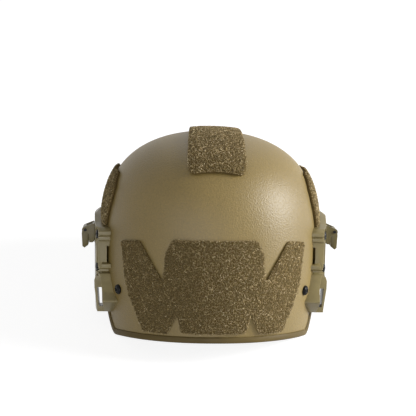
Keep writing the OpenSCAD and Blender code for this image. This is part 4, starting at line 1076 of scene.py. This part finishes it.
def make_pads():
    """Each pad has a site of (angle, height, half width, half height), but for the
    crown's, and the power of its outline's curve."""
    front, rear, nape = (180, 91, 58, 19), (0, 64, 50, 24), (0, 21, 44, 10)
    rear_side, front_side = (45, 100, 27, 27), (129, 116, 27, 19)
    plans = [("front_cushion", "front_pad", front, 3.6, AS_IS),
             ("rear_cushion", "rear_pad", rear, 3.6, AS_IS)]
    for kind, site in (("rear_side", rear_side), ("front_side", front_side)):
        for word, side in HANDS:
            plans.append(
                (f"{kind}_cushion_{word}", f"{kind}_pad_{word}", site, 3.6, side))
    plans += [("nape_cushion", "nape_pad", nape, 3.0, AS_IS),
              ("crown_cushion", "crown_pad", None, 2.0, AS_IS)]
    made = []
    for name, node, site, power, side in plans:
        if site:
            half, way = site[2:], outward(on_skin(site[0], site[1]))
            spot = lambda s, t, d, site=site: pad_spot(site, s, t, d)
        else:
            half, way, spot = (60, 60), Vector((0, 0, 1)), crown_spot
        thin = node == "nape_pad"
        back, thick = (NAPE_BACK, NAPE_THICK) if thin else (PAD_BACK, PAD_THICK)
        inner = (half[0] - ROOM_ROUND, half[1] - ROOM_ROUND)
        bm = pad_form(spot, inner, power, back + ROOM_BACK, thick - ROOM_THICK, side)
        obj = piece(bm, name, KNIT, "helmet", [node])
        size = FINE_VOXEL if thin else VOXEL
        remesh = modify(obj, "REMESH", "voxels", mode="VOXEL", voxel_size=size)
        deps = bpy.context.evaluated_depsgraph_get()
        even = bpy.data.meshes.new_from_object(obj.evaluated_get(deps))
        old, obj.data = obj.data, even
        obj.modifiers.remove(remesh)
        bpy.data.meshes.remove(old)
        out = (REST @ side).to_3x3() @ way
        made.append((obj, site, side, out.normalized(), spot, half, back, thick, power))
    swell([m[0] for m in made], [m[3] for m in made])
    for obj, site, side, out, spot, half, back, thick, power in made:
        sew(obj, site, side, out, half)
        pipe(obj, spot, half, back, thick, power, side)
        modify(obj, "SUBSURF", "smoothing", levels=1, render_levels=1)


def sew(obj, site, side, out, half):
    """Sinks the sewn channels into a pad's front, and puckers the cover beside them."""
    to_wearing = side @ BACK_TO_WEARING
    normals = [v.normal.copy() for v in obj.data.vertices]
    for v, n in zip(obj.data.vertices, normals):
        if n.dot(out) > 0.3:
            continue
        p = to_wearing @ v.co
        if site:
            s, t = pad_place(site, p)
            marks = (-half[0] / 3, half[0] / 3) if half[0] > 40 else (0,)
            near = min(abs(s - m) for m in marks)
        else:
            s, t = p.x, p.y - CROWN_PAD_Y
            turn = math.degrees(math.atan2(s, t)) % 120
            near = math.hypot(s, t) * abs(math.sin(math.radians(turn - 60)))
            near = near if abs(turn - 60) < 50 and math.hypot(s, t) > 9 else 20
        depth = 0.0024 if half[1] > SMALL else 0.0010
        sink = math.exp(-((near / 2.6) ** 2)) * depth
        pucker = noise.noise(Vector((s, t * 1.7, 5)) * 0.16) * 0.0005
        v.co = v.co - n * (sink + max(-0.0002, pucker) * math.exp(-near / 12))
    obj.data.update()


def pipe(obj, spot, half, back, thick, power, side):
    """Piping sewn round a pad where its front and back covers meet."""
    tree = BVHTree.FromPolygons(
        [v.co for v in obj.data.vertices], [f.vertices for f in obj.data.polygons])
    count, path = PIPING_COUNT, []
    for k in range(count):
        q = edge_of_pad(2 * math.pi * k / count, power)
        ideal = spot(q[0] * half[0], q[1] * half[1], back + 0.4 * thick)
        path.append(tree.find_nearest(REST @ side @ ideal)[0])
    middle = sum(path, Vector()) / count
    radius = 0.0011 if half[1] > SMALL else 0.0008

    def at(u, v):
        i = round(v * count) % count
        way = (path[(i + 1) % count] - path[i - 1]).normalized()
        away = (path[i] - middle).normalized()
        up = way.cross(away).normalized()
        a = 2 * math.pi * u
        twist = 1 + 0.12 * math.sin(a * 3 + i * 1.3)
        off = up.cross(way) * math.cos(a) + up * math.sin(a)
        return path[i] + off * radius * twist

    bm = folded_grid(10, count, at)
    close_up(bm)
    piece(bm, obj.name.replace("cushion", "piping"), PIPING, "helmet")


DISC_RADIUS = 15


def make_discs():
    """Hook discs that hold the pads, glued to the inside of the wall."""
    whole = bmesh.new()
    sites = [(45, 100), (129, 116), (160, 91), (12, 64)]
    places = [(site, side) for site in sites for _, side in HANDS]
    for site, side in places + [(None, AS_IS)]:
        spot = (lambda s, t, d: pad_spot(site, s, t, d)) if site else crown_spot

        def at(u, v):
            r = DISC_RADIUS * min(1.0, v * 2.4, (1 - v) * 2.4)
            a = 2 * math.pi * u
            d = 0.45 + 1.4 * min(1.0, max(0.0, (v - 0.4) * 5))
            return REST @ side @ spot(r * math.cos(a), r * math.sin(a), d)

        bm = folded_grid(40, 12, at)
        close_up(bm)
        join(whole, bm)
    piece(whole, "hook_tape_discs", HOOK, "helmet", ["hook_discs"])


def make_cup():
    """The chin cup: a dished, padded strip with a sewn edge."""
    span = 180 - CUP_END

    def at(u, v):
        s = 2 * v - 1
        a = 2 * math.pi * u
        end = max(0.0, 1 - abs(s) ** 26) ** 0.5
        narrow = 1 - 0.25 * s * s
        c, k = math.cos(a), math.sin(a)
        t = bent(c, 0.55) * narrow * (0.55 + 0.45 * end)
        seam = 0.75 * math.exp(-((abs(t) / narrow - 0.74) / 0.07) ** 2)
        seam += 0.6 * math.exp(-((abs(s) - 0.9) / 0.03) ** 2)
        full = max(0.0, 3 * abs(k) ** 0.6 - seam * abs(k))
        d = 3 + math.copysign(full, k) * (0.4 + 0.6 * end)
        return REST @ inside(180 + s * span, CHIN_Z + t * 15,
                             CHIN_DEPTH + d - 3.2 + 3.2 * t * t)

    bm = folded_grid(72, 96, at)
    bmesh.ops.remove_doubles(bm, verts=bm.verts, dist=MERGE)
    cap_ends(bm)
    cup = piece(bm, "chin_cup_cover", CUP_KNIT, "helmet", ["chin_cup"])


# Floor, lights and camera

FLOOR_HALF, FLOOR_TONE, FLOOR_GLOW, SOFT_LIGHT = 6, 0.34, 0.85, 0.12


def make_stage():
    """A floor that takes the shadow and a world that is white behind it. Both are
    bright to the camera and in reflections only."""
    bm = bmesh.new()
    bmesh.ops.create_grid(bm, x_segments=1, y_segments=1, size=FLOOR_HALF)
    floor = add_object("floor", to_mesh(bm, "floor"))
    f = Finish("floor_white", 0.9)
    grey = (FLOOR_TONE, FLOOR_TONE, FLOOR_TONE, 1)
    f.shader.inputs["Base Color"].default_value = grey
    rays = f.add("ShaderNodeLightPath").outputs
    seen = f.math("MAXIMUM", rays["Is Camera Ray"], rays["Is Glossy Ray"])
    seen = f.math("MAXIMUM", seen, rays["Is Transmission Ray"])
    glow = f.math("MULTIPLY", seen, FLOOR_GLOW)
    shown = f.add("ShaderNodeEmission", {"Color": (1, 1, 1, 1), "Strength": glow})
    both = f.add("ShaderNodeAddShader")
    f.tree.links.new(f.shader.outputs[0], both.inputs[0])
    f.tree.links.new(shown.outputs[0], both.inputs[1])
    f.tree.links.new(both.outputs[0], f.tree.nodes["Material Output"].inputs[0])
    floor.data.materials.append(f.mat)

    world = bpy.data.worlds.new("studio")
    world.use_nodes = True
    world.node_tree.nodes.clear()
    new, link = world.node_tree.nodes.new, world.node_tree.links.new
    soft, white = (new("ShaderNodeBackground") for _ in range(2))
    for part, strength in ((soft, SOFT_LIGHT), (white, 1.0)):
        part.inputs["Color"].default_value = (1, 1, 1, 1)
        part.inputs["Strength"].default_value = strength
    rays, mixer = new("ShaderNodeLightPath").outputs, new("ShaderNodeMixShader")
    seen = rays["Is Camera Ray"]
    for kind in ("Is Glossy Ray", "Is Transmission Ray"):
        either = new("ShaderNodeMath")
        either.operation = "MAXIMUM"
        link(seen, either.inputs[0])
        link(rays[kind], either.inputs[1])
        seen = either.outputs[0]
    link(seen, mixer.inputs[0])
    link(soft.outputs[0], mixer.inputs[1])
    link(white.outputs[0], mixer.inputs[2])
    link(mixer.outputs[0], new("ShaderNodeOutputWorld").inputs[0])
    bpy.context.scene.world = world


def aimed(pos, target):
    """A turn that faces a lamp from its place to a target."""
    way = (Vector(target) - Vector(pos)).normalized()
    return way.to_track_quat("-Z", "Y").to_matrix().to_4x4()


def lamp(name, pos, target, size, power):
    """A soft box, in metres and watts."""
    data = bpy.data.lights.new(name, "AREA")
    data.shape, data.size, data.size_y = "RECTANGLE", size[0], size[1]
    data.energy = power
    obj = add_object(name, data)
    obj.matrix_world = Matrix.Translation(pos) @ aimed(pos, target)


def make_lights():
    """A key from the right, weak ones from the camera's side and from the back."""
    middle = (0, 0, 0.1)
    lamp("key", (2.14, -0.2, 0.92), middle, (0.85, 1.1), 81)
    lamp("fill", (-0.3, -2.4, 0.6), middle, (1.6, 1.0), 15)
    lamp("left", (-1.3, -2.0, 0.9), middle, (1.6, 1.0), 8)
    lamp("back", (0.2, 1.8, 1.6), middle, (1.4, 1.0), 4)


def make_camera():
    """Where the photograph was taken from: found on the shell's own features.
    The frame, the focal length and the centre are in the photograph's pixels."""
    side, focal, centre = 416, 946.0, (209.5, 232.4)
    sensor = 36
    target, distance = Vector((0, 0, 95)), 1000.0
    rise, yaw, roll = (math.radians(a) for a in (8.85, -2.52, 0.9))
    level = math.cos(rise)
    pos = target + distance * Vector(
        (math.sin(yaw) * level, -math.cos(yaw) * level, math.sin(rise))
    )
    data = bpy.data.cameras.new("camera")
    data.sensor_width = sensor
    data.sensor_fit = "HORIZONTAL"
    data.lens = focal / side * sensor
    data.shift_x = (side / 2 - centre[0]) / side
    data.shift_y = (centre[1] - side / 2) / side
    data.clip_start, data.clip_end = 0.05, 20
    cam = add_object("camera", data)
    forward = (target - pos).normalized()
    right = forward.cross(Vector((0, 0, 1))).normalized()
    up = right.cross(forward)
    rolled = (
        right * math.cos(roll) + up * math.sin(roll),
        -right * math.sin(roll) + up * math.cos(roll),
    )
    turn = Matrix((*rolled, -forward)).transposed().to_4x4()
    tilt = Matrix.Rotation(-TILT, 4, "X")
    cam.matrix_world = Matrix.Translation(place(pos)) @ tilt @ turn
    bpy.context.scene.camera = cam


make_camera()
make_stage()
make_lights()
make_shell()
make_trim()
make_patches()
make_straps()
make_pads()
make_discs()
make_cup()

for word, _ in HANDS:
    dress(f"rail_{word}", POLYMER, 0.0006, 3)
    dress(f"strap_clip_base_{word}", CLIP_POLYMER, 0.0004)
    dress(f"strap_clip_loop_{word}", CLIP_POLYMER, 0.0004)
    dress(f"strap_adjuster_{word}", BLACK_POLYMER, 0.0003)
    for kind in ("rail_screws", "rail_nuts", "strap_clip_pin"):
        dress(f"{kind}_{word}", BLACK_METAL, 0.0002)
for name in ("harness_bolts", "harness_nuts", "shroud_screws", "shroud_nuts"):
    dress(name, BLACK_METAL, 0.0002)
for name in ("front_shroud", "buckle_socket", "buckle_plug"):
    dress(name, BLACK_POLYMER, 0.0004)

bpy.context.scene.view_settings.view_transform = "Standard"
